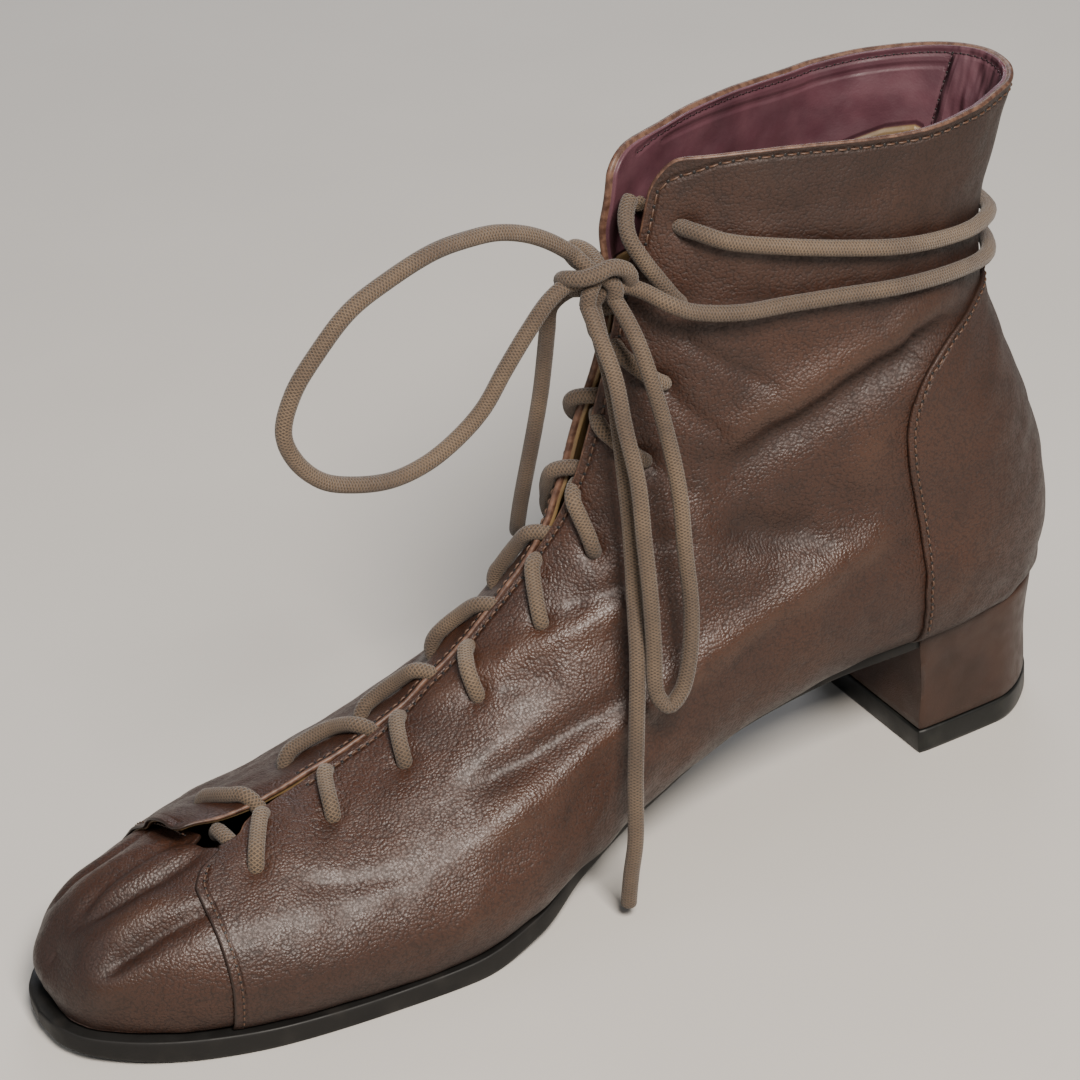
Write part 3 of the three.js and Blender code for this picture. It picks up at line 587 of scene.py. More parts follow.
def new_piece(
    name: str,
    parts: MeshParts,
    materials: list[bpy.types.Material],
    slots: tuple[int, ...] = (),
    uv: Array | None = None,
) -> bpy.types.Object:
    """Make an object whose place is in its mesh, with smooth faces.

    Args:
        name: The piece's name.
        parts: Its vertices in the shoe's frame, faces and values.
        materials: Its materials.
        slots: Which material each layer of faces takes, or none where all take the first.
        uv: A pair of pattern coordinates for each corner of each quad.

    Returns:
        The object.
    """
    vertices = (parts.vertices + FRAME_SHIFT) * MILLIMETRE
    collapsed = parts.quads == np.roll(parts.quads, -1, axis=1)
    rings = [list(dict.fromkeys(quad)) for quad in parts.quads[collapsed.any(axis=1)].tolist()]
    whole = parts.quads[~collapsed.any(axis=1)].tolist()
    kept = [ring for ring in rings if len(ring) > 2]
    mesh = bpy.data.meshes.new(name)
    mesh.from_pydata(vertices.tolist(), [], whole + kept)
    mesh.polygons.foreach_set("use_smooth", np.ones(len(mesh.polygons), bool))
    for material in materials:
        mesh.materials.append(material)
    if slots:
        fill = np.zeros(len(mesh.polygons), int)
        fill[: len(whole)] = np.array(slots)[parts.layer[~collapsed.any(axis=1)]]
        mesh.polygons.foreach_set("material_index", fill)
    for label, value in parts.values.items():
        attribute = mesh.attributes.new(label, "FLOAT", "POINT")
        attribute.data.foreach_set("value", value.astype(np.float32))
    if uv is not None:
        layer = mesh.uv_layers.new(name="pattern")
        layer.data.foreach_set("uv", uv.astype(np.float32).ravel())
    mesh.update()
    piece = bpy.data.objects.new(name, mesh)
    bpy.context.scene.collection.objects.link(piece)
    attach(piece, BODY)
    return piece


def joined(all_parts: list[MeshParts]) -> MeshParts:
    """Put several meshes into one.

    Args:
        all_parts: The meshes.

    Returns:
        One mesh with all of their vertices and faces.
    """
    starts = np.cumsum([0] + [len(parts.vertices) for parts in all_parts[:-1]])
    return MeshParts(
        np.concatenate([parts.vertices for parts in all_parts]),
        np.concatenate([parts.quads + start for parts, start in zip(all_parts, starts)]),
        np.concatenate([parts.layer for parts in all_parts]),
    )


# How finely a curve is followed between two points, and the fewest steps it is cut into.
CURVE_STEPS = 24
FEWEST_STEPS = 4


def smooth_path(points: Array, spacing: float) -> Array:
    """A curve through points, cut into equal steps.

    Between two points it is the cubic with centripetal knots: each knot is the square root of the distance
    further on, and the slope at a point is the one of the parabola through it and its two neighbours.

    Args:
        points: The points to go through.
        spacing: The length of a step, in millimetres.

    Returns:
        Points along the curve.
    """
    knots = np.concatenate([[0.0], np.cumsum(np.sqrt(np.linalg.norm(np.diff(points, axis=0), axis=1)))])
    rise = np.diff(points, axis=0) / np.diff(knots)[:, None]
    before, after = np.diff(knots)[:-1, None], np.diff(knots)[1:, None]
    inner = (rise[:-1] * after + rise[1:] * before) / (before + after)
    slopes = np.vstack([2 * rise[:1] - inner[:1], inner, 2 * rise[-1:] - inner[-1:]])
    fine = np.linspace(0, knots[-1], len(points) * CURVE_STEPS)
    cell = np.clip(np.searchsorted(knots, fine, side="right") - 1, 0, len(points) - 2)
    width = np.diff(knots)[cell][:, None]
    t = ((fine - knots[cell])[:, None]) / width
    curve = (
        (1 + 2 * t) * (1 - t) ** 2 * points[cell]
        + t * t * (3 - 2 * t) * points[cell + 1]
        + width * (t * (1 - t) ** 2 * slopes[cell] - t * t * (1 - t) * slopes[cell + 1])
    )
    length = run_length(curve)
    steps = max(FEWEST_STEPS, round(length[-1] / spacing))
    even = np.linspace(0, length[-1], steps + 1)
    return np.stack([np.interp(even, length, curve[:, axis]) for axis in range(3)], axis=1)


# A path that leans less than this starts with a side taken from another axis.
NEARLY_UPRIGHT = 0.1


def carried_frames(path: Array) -> tuple[Array, Array]:
    """Two directions across a path at each point, turned as little as can be from one point to the next.

    Args:
        path: The path's points.

    Returns:
        The side and the up directions.
    """
    tangents = unit(np.gradient(path, axis=0))
    side = np.cross(tangents[0], [0.0, 0.0, 1.0])
    if np.linalg.norm(side) < NEARLY_UPRIGHT:
        side = np.cross(tangents[0], [0.0, 1.0, 0.0])
    sides = []
    for tangent in tangents:
        side = unit(side - tangent * (side @ tangent))
        sides.append(side)
    across = np.array(sides)
    return across, np.cross(tangents, across)


# The dome at a cord's end: how far b goes, its rings, and its depth as a share of the radius.
DOME_TURN = 0.45 * math.pi
DOME_RINGS = 4
DOME_DEPTH = 0.5


def tube(path: Array, radius: float, sides: int) -> tuple[MeshParts, Array]:
    """A round cord along a path, with domed ends.

    A ring at length s lies at path + r * (cos a * side + sin a * up). At both ends the middle goes on as
    sin b and r falls to almost nothing as cos b, for a low dome.

    Args:
        path: The cord's centre line.
        radius: Its radius, in millimetres.
        sides: How many sides it has.

    Returns:
        The mesh, and the pattern coordinates of its faces' corners: turns round it, and millimetres along it.
    """
    tangents = unit(np.gradient(path, axis=0))
    dome = np.linspace(0, DOME_TURN, DOME_RINGS)
    bulge = DOME_DEPTH * radius * np.sin(dome)[:, None]
    head, tail = path[:1] - tangents[:1] * bulge[:0:-1], path[-1:] + tangents[-1:] * bulge[1:]
    centres = np.concatenate([head, path, tail])
    shrink = np.cos(dome)
    radii = radius * np.concatenate([shrink[:0:-1], np.ones(len(path)), shrink[1:]])
    across, up = carried_frames(centres)
    angle = np.linspace(0, 2 * math.pi, sides, endpoint=False)
    ring = np.cos(angle)[None, :, None] * across[:, None] + np.sin(angle)[None, :, None] * up[:, None]
    vertices = (centres[:, None] + radii[:, None, None] * ring).reshape(-1, 3)
    rings = len(centres)
    number = np.arange(rings * sides).reshape(rings, sides)
    following = np.roll(number, -1, axis=1)
    quads = np.stack([number[:-1], following[:-1], following[1:], number[1:]], axis=-1).reshape(-1, 4)
    along = run_length(centres)
    grid = np.stack(np.meshgrid(along, np.arange(sides + 1) / sides, indexing="ij")[::-1], axis=-1)
    uv = np.stack([grid[:-1, :-1], grid[:-1, 1:], grid[1:, 1:], grid[1:, :-1]], axis=2).reshape(-1, 4, 2)
    caps = np.concatenate([ring_cap(number[0][::-1]), ring_cap(number[-1])])
    layer = np.zeros(len(quads) + len(caps), int)
    uv = np.concatenate([uv, np.zeros((len(caps), 4, 2))])
    return MeshParts(vertices, np.concatenate([quads, caps]), layer), uv


def ring_cap(ring: Array) -> Array:
    """A strip of quads that closes a ring with an even number of points, anticlockwise seen from outside."""
    left, right = ring[: len(ring) // 2], ring[::-1][: len(ring) // 2]
    return np.stack([left[:-1], left[1:], right[1:], right[:-1]], axis=1)


# Quads that fill a ring of six and one of eight points.
SIX_SIDES = ([0, 1, 2, 3], [0, 3, 4, 5])
EIGHT_SIDES = ([0, 1, 2, 3], [0, 3, 4, 7], [4, 5, 6, 7])


def many_caps(first: Array, last: Array, filling: tuple[list[int], ...]) -> Array:
    """Quads that close a first ring, anticlockwise from outside, and a clockwise last one of many pieces."""
    return np.concatenate([first[:, quad] for quad in filling] + [last[:, quad[::-1]] for quad in filling])


def linear(hex_colour: str) -> tuple[float, float, float, float]:
    """Turn an sRGB hex colour to the linear values that a shader takes.

    Args:
        hex_colour: Six hex digits, such as 4A3329.

    Returns:
        Red, green, blue and an alpha of one.
    """
    parts = [int(hex_colour[k : k + 2], 16) / 255 for k in (0, 2, 4)]
    curve = [part / 12.92 if part <= 0.04045 else ((part + 0.055) / 1.055) ** 2.4 for part in parts]
    return *curve, 1.0


def add_node(
    tree: bpy.types.NodeTree, kind: str, inputs: dict | None = None, **settings: object
) -> bpy.types.Node:
    """Add a node, set its properties and fill or link its inputs.

    Args:
        tree: The node tree.
        kind: The node's type.
        inputs: A value or another node's output socket for each input, by name or number.
        **settings: Properties of the node.

    Returns:
        The node.
    """
    node = tree.nodes.new(kind)
    for name, value in settings.items():
        setattr(node, name, value)
    for name, value in (inputs or {}).items():
        if isinstance(value, Socket):
            tree.links.new(value, node.inputs[name])
        else:
            node.inputs[name].default_value = value
    return node


def per_metre(millimetres: float) -> float:
    """The texture scale whose features are that many millimetres apart."""
    return 1.0 / (millimetres * MILLIMETRE)


@dataclass
class ShaderBuild:
    """A new material with a principled shader, and short ways to the nodes that every finish uses."""

    name: str
    cell_randomness: float = 0.85
    cell_width: float = 1.2
    tree: bpy.types.NodeTree = field(init=False)
    material: bpy.types.Material = field(init=False)
    shader: bpy.types.Node = field(init=False)
    place: Socket = field(init=False)

    def __post_init__(self) -> None:
        """Make the material with its output, its shader and its object coordinates."""
        self.material = bpy.data.materials.new(self.name)
        self.material.use_nodes = True
        self.tree = self.material.node_tree
        self.tree.nodes.clear()
        self.shader = add_node(self.tree, "ShaderNodeBsdfPrincipled")
        add_node(self.tree, "ShaderNodeOutputMaterial", {"Surface": self.shader.outputs["BSDF"]})
        self.place = add_node(self.tree, "ShaderNodeTexCoord").outputs["Object"]

    def noise(self, size: float, detail: float, place: Socket | None = None) -> Socket:
        """Noise whose features are that many millimetres apart, at the object's own coordinates or others."""
        values = {"Vector": place or self.place, "Scale": per_metre(size), "Detail": detail}
        return add_node(self.tree, "ShaderNodeTexNoise", values).outputs[0]

    def noise_colour(self, size: float, detail: float) -> Socket:
        """Three independent noises whose features are that many millimetres apart."""
        values = {"Vector": self.place, "Scale": per_metre(size), "Detail": detail}
        return add_node(self.tree, "ShaderNodeTexNoise", values).outputs["Color"]

    def spread(self, vector: Socket, width: float) -> Socket:
        """A vector from 0 to 1 turned into one that many millimetres wide."""
        operands = {0: vector, 1: [width * MILLIMETRE] * 3}
        return add_node(self.tree, "ShaderNodeVectorMath", operands, operation="MULTIPLY").outputs[0]

    def domes(self, size: float, place: Socket) -> Socket:
        """Rounded cells, as 1 - (1.2 d)^2 of the distance d to the nearest cell's middle.

        Args:
            size: How far apart their middles are, in millimetres.
            place: Coordinates to read.

        Returns:
            The height, near 1 in the middle of a cell and lower at its edge.
        """
        values = {"Vector": place, "Scale": per_metre(size), "Randomness": self.cell_randomness}
        distance = add_node(self.tree, "ShaderNodeTexVoronoi", values).outputs["Distance"]
        distance = self.math("MULTIPLY", distance, self.cell_width)
        return self.math("SUBTRACT", 1.0, self.math("POWER", distance, 2.0))

    def ramp(self, value: Socket, low: float, high: float, start: float = 0.0, end: float = 1.0) -> Socket:
        """Map a value from low..high to start..end with a smooth step.

        Args:
            value: The value.
            low: Where the step starts.
            high: Where the step ends.
            start: What it gives at low.
            end: What it gives at high.

        Returns:
            The mapped value's socket.
        """
        limits = {"Value": value, "From Min": low, "From Max": high, "To Min": start, "To Max": end}
        node = add_node(self.tree, "ShaderNodeMapRange", limits, interpolation_type="SMOOTHSTEP")
        return node.outputs["Result"]

    def math(self, operation: str, first: object, second: object) -> Socket:
        """The result of a sum, by Blender's name for it, on two values or sockets."""
        return add_node(self.tree, "ShaderNodeMath", {0: first, 1: second}, operation=operation).outputs[0]

    def mix(self, share: object, first: object, second: object) -> Socket:
        """Two colours mixed, with a share of the second."""
        values = {"Factor": share, 6: first, 7: second}
        return add_node(self.tree, "ShaderNodeMix", values, data_type="RGBA").outputs[2]

    def attribute(self, name: str) -> Socket:
        """A value that the piece's mesh holds."""
        return add_node(self.tree, "ShaderNodeAttribute", None, attribute_name=name).outputs["Fac"]

    def bump(self, height: Socket, depth: float, strength: float, under: object = None) -> Socket:
        """Raise the surface by a height.

        Args:
            height: The height, from 0 to 1.
            depth: What a height of 1 is, in millimetres.
            strength: How much of it shows.
            under: The normal of a coarser layer below, or none.

        Returns:
            The new normal's socket.
        """
        values = {"Height": height, "Distance": depth * MILLIMETRE, "Strength": strength}
        if under is not None:
            values["Normal"] = under
        return add_node(self.tree, "ShaderNodeBump", values).outputs["Normal"]

    def finish(self, **inputs: object) -> bpy.types.Material:
        """Set or link the shader's inputs, with underscores for spaces in their names.

        Args:
            **inputs: A value or a socket for each input.

        Returns:
            The material.
        """
        for name, value in inputs.items():
            socket = self.shader.inputs[name.replace("_", " ")]
            if isinstance(value, Socket):
                self.tree.links.new(value, socket)
            else:
                socket.default_value = value
        return self.material


@dataclass(frozen=True)
class PebbledLeather:
    """Soft cow leather, drum dyed, with its natural pebble and a waxed, brushed gloss.

    The pebbles catch the light one by one, and the valleys between them are matt and darkened with painted
    shade. Ridges are worn paler and carry a painted highlight, the toe is darkened by burnishing, troughs get
    painted shade, and the leather just over the feather line and low at the heel is darker from burnishing
    and painted shade.
    """

    # Sizes in millimetres and detail of each noise, the span over which it acts and how much it does.
    name: str = "pebbled_leather_waxed"
    colour: str = "331D13"
    warm: str = "3E2417"
    dark: str = "160C08"
    # The worn colour is the paler wear of ridges and also their painted highlight.
    worn: str = "563B2C"
    pebble: float = 0.66
    pore: Span = (0.3, 2.0)
    depth: float = 0.15
    gloss: float = 0.43
    wander: float = 0.45
    wobble: Span = (1.2, 2.0)
    patch: Span = (26.0, 3.0)
    cloud: Span = (7.0, 4.0)
    smear: Span = (3.0, 3.0)
    crumple: Span = (5.5, 3.0)
    grain_share: float = 0.22
    rub_and_highlight_amount: float = 0.26
    burnish_and_shade_amount: float = 0.82

    def build(self) -> bpy.types.Material:
        """Make the material."""
        make = ShaderBuild(self.name)
        wobble = make.spread(make.noise_colour(*self.wobble), self.wander)
        operands = {0: make.place, 1: wobble}
        place = add_node(make.tree, "ShaderNodeVectorMath", operands, operation="ADD").outputs[0]
        pebbles = make.domes(self.pebble, place)
        grains = make.domes(self.pebble / 2, place)
        burnish_and_shade = make.attribute("burnish_and_shade")
        polish_and_highlight = make.attribute("polish_and_highlight")
        matt = make.attribute("matt")
        patches = make.noise(*self.patch)
        cloud = make.noise(*self.cloud)
        base = make.mix(make.ramp(patches, 0.3, 0.7, 0.0, 0.7), linear(self.colour), linear(self.warm))
        base = make.mix(make.ramp(cloud, 0.45, 0.8, 0.0, 0.4), base, linear(self.dark))
        # Painted shade: the valleys between the pebbles are darkened in colour, and they are also matter.
        valley = make.ramp(pebbles, 0.3, 0.75, 0.42, 0.0)
        base = make.mix(valley, base, linear(self.dark))
        # Ridges are mixed towards the worn colour: real rubbing and a painted highlight.
        rub_and_highlight = make.math("MULTIPLY", make.ramp(cloud, 0.35, 0.6, 0.45, 1.0), polish_and_highlight)
        base = make.mix(make.math("MULTIPLY", rub_and_highlight, self.rub_and_highlight_amount), base, linear(self.worn))
        # Darker where the mesh says so: burnishing at the toe, painted shade in troughs, and burnishing with
        # painted shade low at the feather line and heel.
        base = make.mix(make.math("MULTIPLY", burnish_and_shade, self.burnish_and_shade_amount), base, linear(self.dark))
        rough = make.ramp(make.noise(*self.smear), 0.3, 0.7, self.gloss - 0.05, self.gloss + 0.09)
        rough = make.math("ADD", rough, make.math("MULTIPLY", matt, 0.16))
        rough = make.math("SUBTRACT", rough, make.math("MULTIPLY", polish_and_highlight, 0.06))
        rough = make.math("ADD", rough, make.math("MULTIPLY", valley, 0.25))
        rough = make.math("ADD", rough, make.math("MULTIPLY", burnish_and_shade, 0.1))
        pebbles = make.math("MULTIPLY", pebbles, 1 - self.grain_share)
        height = make.math("ADD", pebbles, make.math("MULTIPLY", grains, self.grain_share))
        calm = make.math("SUBTRACT", 1.0, make.math("MULTIPLY", burnish_and_shade, 0.5))
        height = make.math("MULTIPLY", height, calm)
        under = make.bump(make.noise(*self.crumple), 0.5, 0.35)
        under = make.bump(make.ramp(make.attribute("seam"), 0.1, 0.9), 0.3, 1.0, under)
        normal = make.bump(height, self.depth, 1.0, under)
        normal = make.bump(make.noise(*self.pore), 0.02, 0.4, normal)
        return make.finish(
            Base_Color=base,
            Roughness=rough,
            Normal=normal,
            IOR=1.48,
            Coat_Weight=0.08,
            Coat_Roughness=0.3,
        )


@dataclass(frozen=True)
class SmoothLeather:
    """Thin sheep or calf leather for linings and covers: matt, with a fine grain and faint wrinkles."""

    name: str
    colour: str
    shade: str
    grain: float = 0.55
    wrinkle: float = 9.0
    gloss: float = 0.6
    depth: float = 0.05
    patch: Span = (14.0, 4.0)
    smear: Span = (4.0, 3.0)

    def build(self) -> bpy.types.Material:
        """Make the material."""
        make = ShaderBuild(self.name)
        patches = make.ramp(make.noise(*self.patch), 0.35, 0.7)
        base = make.mix(patches, linear(self.colour), linear(self.shade))
        values = {"Vector": make.place, "Scale": per_metre(self.grain)}
        grain = add_node(make.tree, "ShaderNodeTexVoronoi", values, feature="DISTANCE_TO_EDGE")
        under = make.bump(make.noise(self.wrinkle, 4.0), 0.6, 0.3)
        normal = make.bump(make.ramp(grain.outputs["Distance"], 0.0, 0.3), self.depth, 0.6, under)
        rough = make.ramp(make.noise(*self.smear), 0.3, 0.7, self.gloss - 0.06, self.gloss + 0.1)
        return make.finish(Base_Color=base, Roughness=rough, Normal=normal, IOR=1.46)


@dataclass(frozen=True)
class TwoLinings:
    """Leather linings glued in the shaft: wine red above a line that the mesh holds, undyed tan below it.

    The red one is gathered in upright folds at the back seam and pressed in along its seams.
    """

    name: str = "lining_leather_glued"
    red: str = "57373F"
    red_shade: str = "462A32"
    tan: str = "76603F"
    tan_shade: str = "5C4A33"
    patch: Span = (11.0, 4.0)
    wrinkle: Span = (8.0, 5.0)
    pleat: float = 3.2
    pleat_depth: float = 2.4
    upright: Triple = (1.0, 1.0, 0.08)
    smear: Span = (5.0, 3.0)

    def build(self) -> bpy.types.Material:
        """Make the material."""
        make = ShaderBuild(self.name)
        patches = make.ramp(make.noise(*self.patch), 0.3, 0.7)
        upper = make.mix(patches, linear(self.red), linear(self.red_shade))
        lower = make.mix(patches, linear(self.tan), linear(self.tan_shade))
        base = make.mix(make.ramp(make.attribute("facing"), 0.48, 0.52), lower, upper)
        under = make.bump(make.noise(*self.wrinkle), 0.8, 0.35)
        operands = {0: make.place, 1: self.upright}
        upright = add_node(make.tree, "ShaderNodeVectorMath", operands, operation="MULTIPLY").outputs[0]
        folds = make.math("MULTIPLY", make.noise(self.pleat, 1.0, upright), make.attribute("pleat"))
        under = make.bump(folds, self.pleat_depth, 1.0, under)
        under = make.bump(make.ramp(make.attribute("liner"), 0.1, 1.1), 0.22, 1.0, under)
        edge = make.math("ABSOLUTE", make.math("SUBTRACT", make.attribute("facing"), 0.5), 0.0)
        under = make.bump(make.ramp(edge, 0.0, 0.1), 0.4, 1.0, under)
        normal = make.bump(make.noise(0.5, 3.0), 0.05, 0.5, under)
        rough = make.ramp(make.noise(*self.smear), 0.3, 0.7, 0.42, 0.62)
        return make.finish(Base_Color=base, Roughness=rough, Normal=normal, IOR=1.46)


@dataclass(frozen=True)
class CutEdge:
    """The cut and folded edge of the leather, dyed, or worn to the paler fibres where the mesh frays."""

    name: str = "leather_folded_edge_worn"
    colour: str = "64493A"
    shade: str = "432C22"
    dyed: str = "24160F"

    def build(self) -> bpy.types.Material:
        """Make the material."""
        make = ShaderBuild(self.name)
        base = make.mix(make.ramp(make.noise(1.6, 4.0), 0.35, 0.65), linear(self.colour), linear(self.shade))
        base = make.mix(make.attribute("fray"), linear(self.dyed), base)
        normal = make.bump(make.noise(0.5, 4.0), 0.12, 0.6)
        return make.finish(Base_Color=base, Roughness=0.48, Normal=normal, IOR=1.48)


@dataclass(frozen=True)
class BlackRubber:
    """Black rubber sheet, cut and buffed: matt, with a faint speckle and scuffs."""

    name: str = "black_rubber_buffed"
    colour: str = "0F0E0D"
    dust: str = "211E1B"
    gloss: float = 0.6

    def build(self) -> bpy.types.Material:
        """Make the material."""
        make = ShaderBuild(self.name)
        dust = make.ramp(make.noise(6.0, 5.0), 0.5, 0.75, 0.0, 0.5)
        base = make.mix(dust, linear(self.colour), linear(self.dust))
        normal = make.bump(make.noise(0.7, 3.0), 0.06, 0.5)
        rough = make.ramp(make.noise(9.0, 3.0), 0.3, 0.7, self.gloss - 0.08, self.gloss + 0.12)
        return make.finish(Base_Color=base, Roughness=rough, Normal=normal, IOR=1.42)


@dataclass(frozen=True)
class WaxedBraid:
    """Round cotton cord, braided from sixteen strands and waxed: small ribs cross in a V and fluff a little.

    The strands are drawn a little coarser than 0.6 mm, as finer ones would not show.
    """

    name: str = "waxed_cotton_braid"
    colour: str = "4C3D30"
    light: str = "695744"
    dark: str = "221A13"
    strands: float = 8.0
    pitch: float = 5.6
    soil: Span = (18.0, 3.0)
    fibre: Span = (0.35, 4.0)
    lump: Span = (2.6, 2.0)

    def build(self) -> bpy.types.Material:
        """Make the material from turns round the cord, in U, and millimetres along it, in V."""
        make = ShaderBuild(self.name)
        pattern = add_node(make.tree, "ShaderNodeUVMap", None, uv_map="pattern").outputs["UV"]
        split = add_node(make.tree, "ShaderNodeSeparateXYZ", {0: pattern})
        turns = make.math("MULTIPLY", split.outputs[0], 2 * math.pi * self.strands)
        along = make.math("MULTIPLY", split.outputs[1], 2 * math.pi * self.strands / self.pitch)
        right = make.math("SINE", make.math("ADD", turns, along), 0.0)
        left = make.math("SINE", make.math("SUBTRACT", turns, along), 0.0)
        over = make.math("MAXIMUM", right, left)
        ribs = make.ramp(over, -0.3, 0.95)
        fibre = make.noise(*self.fibre)
        base = make.mix(make.ramp(make.noise(*self.soil), 0.3, 0.7), linear(self.colour), linear(self.light))
        # Painted shade: the grooves between the braid's strands are darkened in colour.
        base = make.mix(make.ramp(ribs, 0.0, 0.7, 0.75, 0.0), base, linear(self.dark))
        base = make.mix(make.ramp(fibre, 0.5, 0.75, 0.0, 0.5), base, linear(self.light))
        normal = make.bump(make.noise(*self.lump), 0.3, 0.6)
        normal = make.bump(ribs, 0.22, 0.85, normal)
        normal = make.bump(fibre, 0.12, 0.8, normal)
        return make.finish(
            Base_Color=base,
            Roughness=0.68,
            Normal=normal,
            IOR=1.45,
            Sheen_Weight=0.18,
            Sheen_Roughness=0.5,
        )


@dataclass(frozen=True)
class SewingThread:
    """Waxed polyester thread, pulled tight."""

    name: str = "polyester_thread_waxed"
    colour: str = "5A4131"
    shade: str = "3E2B20"

    def build(self) -> bpy.types.Material:
        """Make the material."""
        make = ShaderBuild(self.name)
        normal = make.bump(make.noise(0.3, 2.0), 0.05, 0.5)
        base = make.mix(make.noise(2.0, 2.0), linear(self.colour), linear(self.shade))
        return make.finish(Base_Color=base, Roughness=0.5, Normal=normal, IOR=1.5)


@dataclass(frozen=True)
class StudioPaper:
    """Pale seamless background paper, matt."""

    name: str = "background_paper"
    colour: str = "BBB8B3"
    shade: str = "C1BEB9"
    cloud: Span = (60.0, 2.0)

    def build(self) -> bpy.types.Material:
        """Make the material."""
        make = ShaderBuild(self.name)
        base = make.mix(make.noise(*self.cloud), linear(self.colour), linear(self.shade))
        return make.finish(Base_Color=base, Roughness=0.85, IOR=1.4)


class Finish(Enum):
    """The finishes of the boot and its floor."""

    UPPER = PebbledLeather()
    LINING = TwoLinings()
    EDGE = CutEdge()
    HEEL_COVER = SmoothLeather("heel_cover_leather_satin", "37241B", "2A1B14", wrinkle=6.0, gloss=0.47)
    SOCK = SmoothLeather("insole_sock_leather", "6B543F", "574331", gloss=0.66)
    SOLE = BlackRubber()
    LIFT = BlackRubber("black_lift_polyurethane", "111211", "262723", 0.45)
    LACE = WaxedBraid()
    THREAD = SewingThread()
    LINING_THREAD = SewingThread("polyester_thread_wine", "3A1E26", "2A141A")
    # Dark domes that paint the shade in the needle holes.
    HOLE_SHADOW = SewingThread("needle_hole_shadow", "0C0807", "0A0605")
    PAPER = StudioPaper()

    @cache
    def material(self) -> bpy.types.Material:
        """The finish's material, made on first use."""
        return self.value.build()


@dataclass
class Studio:
    """The camera with the photograph's angle, soft studio lights and a pale paper floor."""

    azimuth: float = -27.36
    elevation: float = 30.77
    roll: float = -4.43
    distance: float = 700.0
    focal_pixels: float = 3290.4
    frame_pixels: float = 1080.0
    sensor: float = 36.0
    target: Triple = (128.99, 0.0, 75.25)
    floor_size: float = 2.4
    # Each softbox by name, place and side in metres, power in watts and colour.
    softboxes: tuple[tuple[str, Triple, float, float, str], ...] = (
        ("key_softbox", (-0.12, -0.8, 1.02), 0.4, 32.0, "FFF6EC"),
        ("rim_softbox", (0.6, 0.95, 0.9), 0.6, 6.0, "F4F7FF"),
        ("left_softbox", (-1.1, 0.2, 0.8), 0.6, 2.5, "FFFFFF"),
    )
    aim: Triple = (0.0, 0.0, 0.06)
    air: str = "F2F4F7"
    air_strength: float = 0.23

    def axes(self) -> tuple[Array, Array, Array]:
        """The camera's right, up and backward directions."""
        turn, lift, roll = (math.radians(angle) for angle in (self.azimuth, self.elevation, self.roll))
        back = np.array([
            math.sin(turn) * math.cos(lift),
            -math.cos(turn) * math.cos(lift),
            math.sin(lift),
        ])
        level = np.array([math.cos(turn), math.sin(turn), 0.0])
        upright = np.cross(back, level)
        right = math.cos(roll) * level + math.sin(roll) * upright
        up = -math.sin(roll) * level + math.cos(roll) * upright
        return right, up, back

    def build(self) -> None:
        """Place the camera, the lights and the floor."""
        right, up, back = self.axes()
        place = (np.array(self.target) + FRAME_SHIFT + back * self.distance) * MILLIMETRE
        lens = bpy.data.cameras.new("camera")
        lens.sensor_width = self.sensor
        lens.lens = self.focal_pixels / self.frame_pixels * self.sensor
        camera = bpy.data.objects.new("camera", lens)
        turned = np.eye(4)
        turned[:3, :3] = np.stack([right, up, back], axis=1)
        turned[:3, 3] = place
        camera.matrix_world = Matrix(turned.tolist())
        bpy.context.scene.collection.objects.link(camera)
        bpy.context.scene.camera = camera
        for softbox in self.softboxes:
            self.light(*softbox)
        world = bpy.data.worlds.new("studio_air")
        world.use_nodes = True
        sky = world.node_tree.nodes["Background"]
        sky.inputs["Color"].default_value = linear(self.air)
        sky.inputs["Strength"].default_value = self.air_strength
        bpy.context.scene.world = world
        self.floor()

    def light(self, name: str, place: Triple, size: float, power: float, colour: str) -> None:
        """Add a square softbox that faces the boot's middle.

        Args:
            name: The light's name.
            place: Where it hangs, in metres.
            size: Its side, in metres.
            power: Its power, in watts.
            colour: Its colour, in sRGB hex.
        """
        lamp = bpy.data.lights.new(name, "AREA")
        lamp.size = size
        lamp.energy = power
        lamp.color = linear(colour)[:3]
        softbox = bpy.data.objects.new(name, lamp)
        turn = (Vector(self.aim) - Vector(place)).to_track_quat("-Z", "Y")
        softbox.matrix_world = Matrix.Translation(place) @ turn.to_matrix().to_4x4()
        bpy.context.scene.collection.objects.link(softbox)

    def floor(self) -> None:
        """Lay the paper floor."""
        half = self.floor_size / 2
        mesh = bpy.data.meshes.new("floor")
        corners = [(-half, -half, 0.0), (half, -half, 0.0), (half, half, 0.0), (-half, half, 0.0)]
        mesh.from_pydata(corners, [], [(0, 1, 2, 3)])
        mesh.materials.append(Finish.PAPER.material())
        sheet = bpy.data.objects.new("floor", mesh)
        bpy.context.scene.collection.objects.link(sheet)


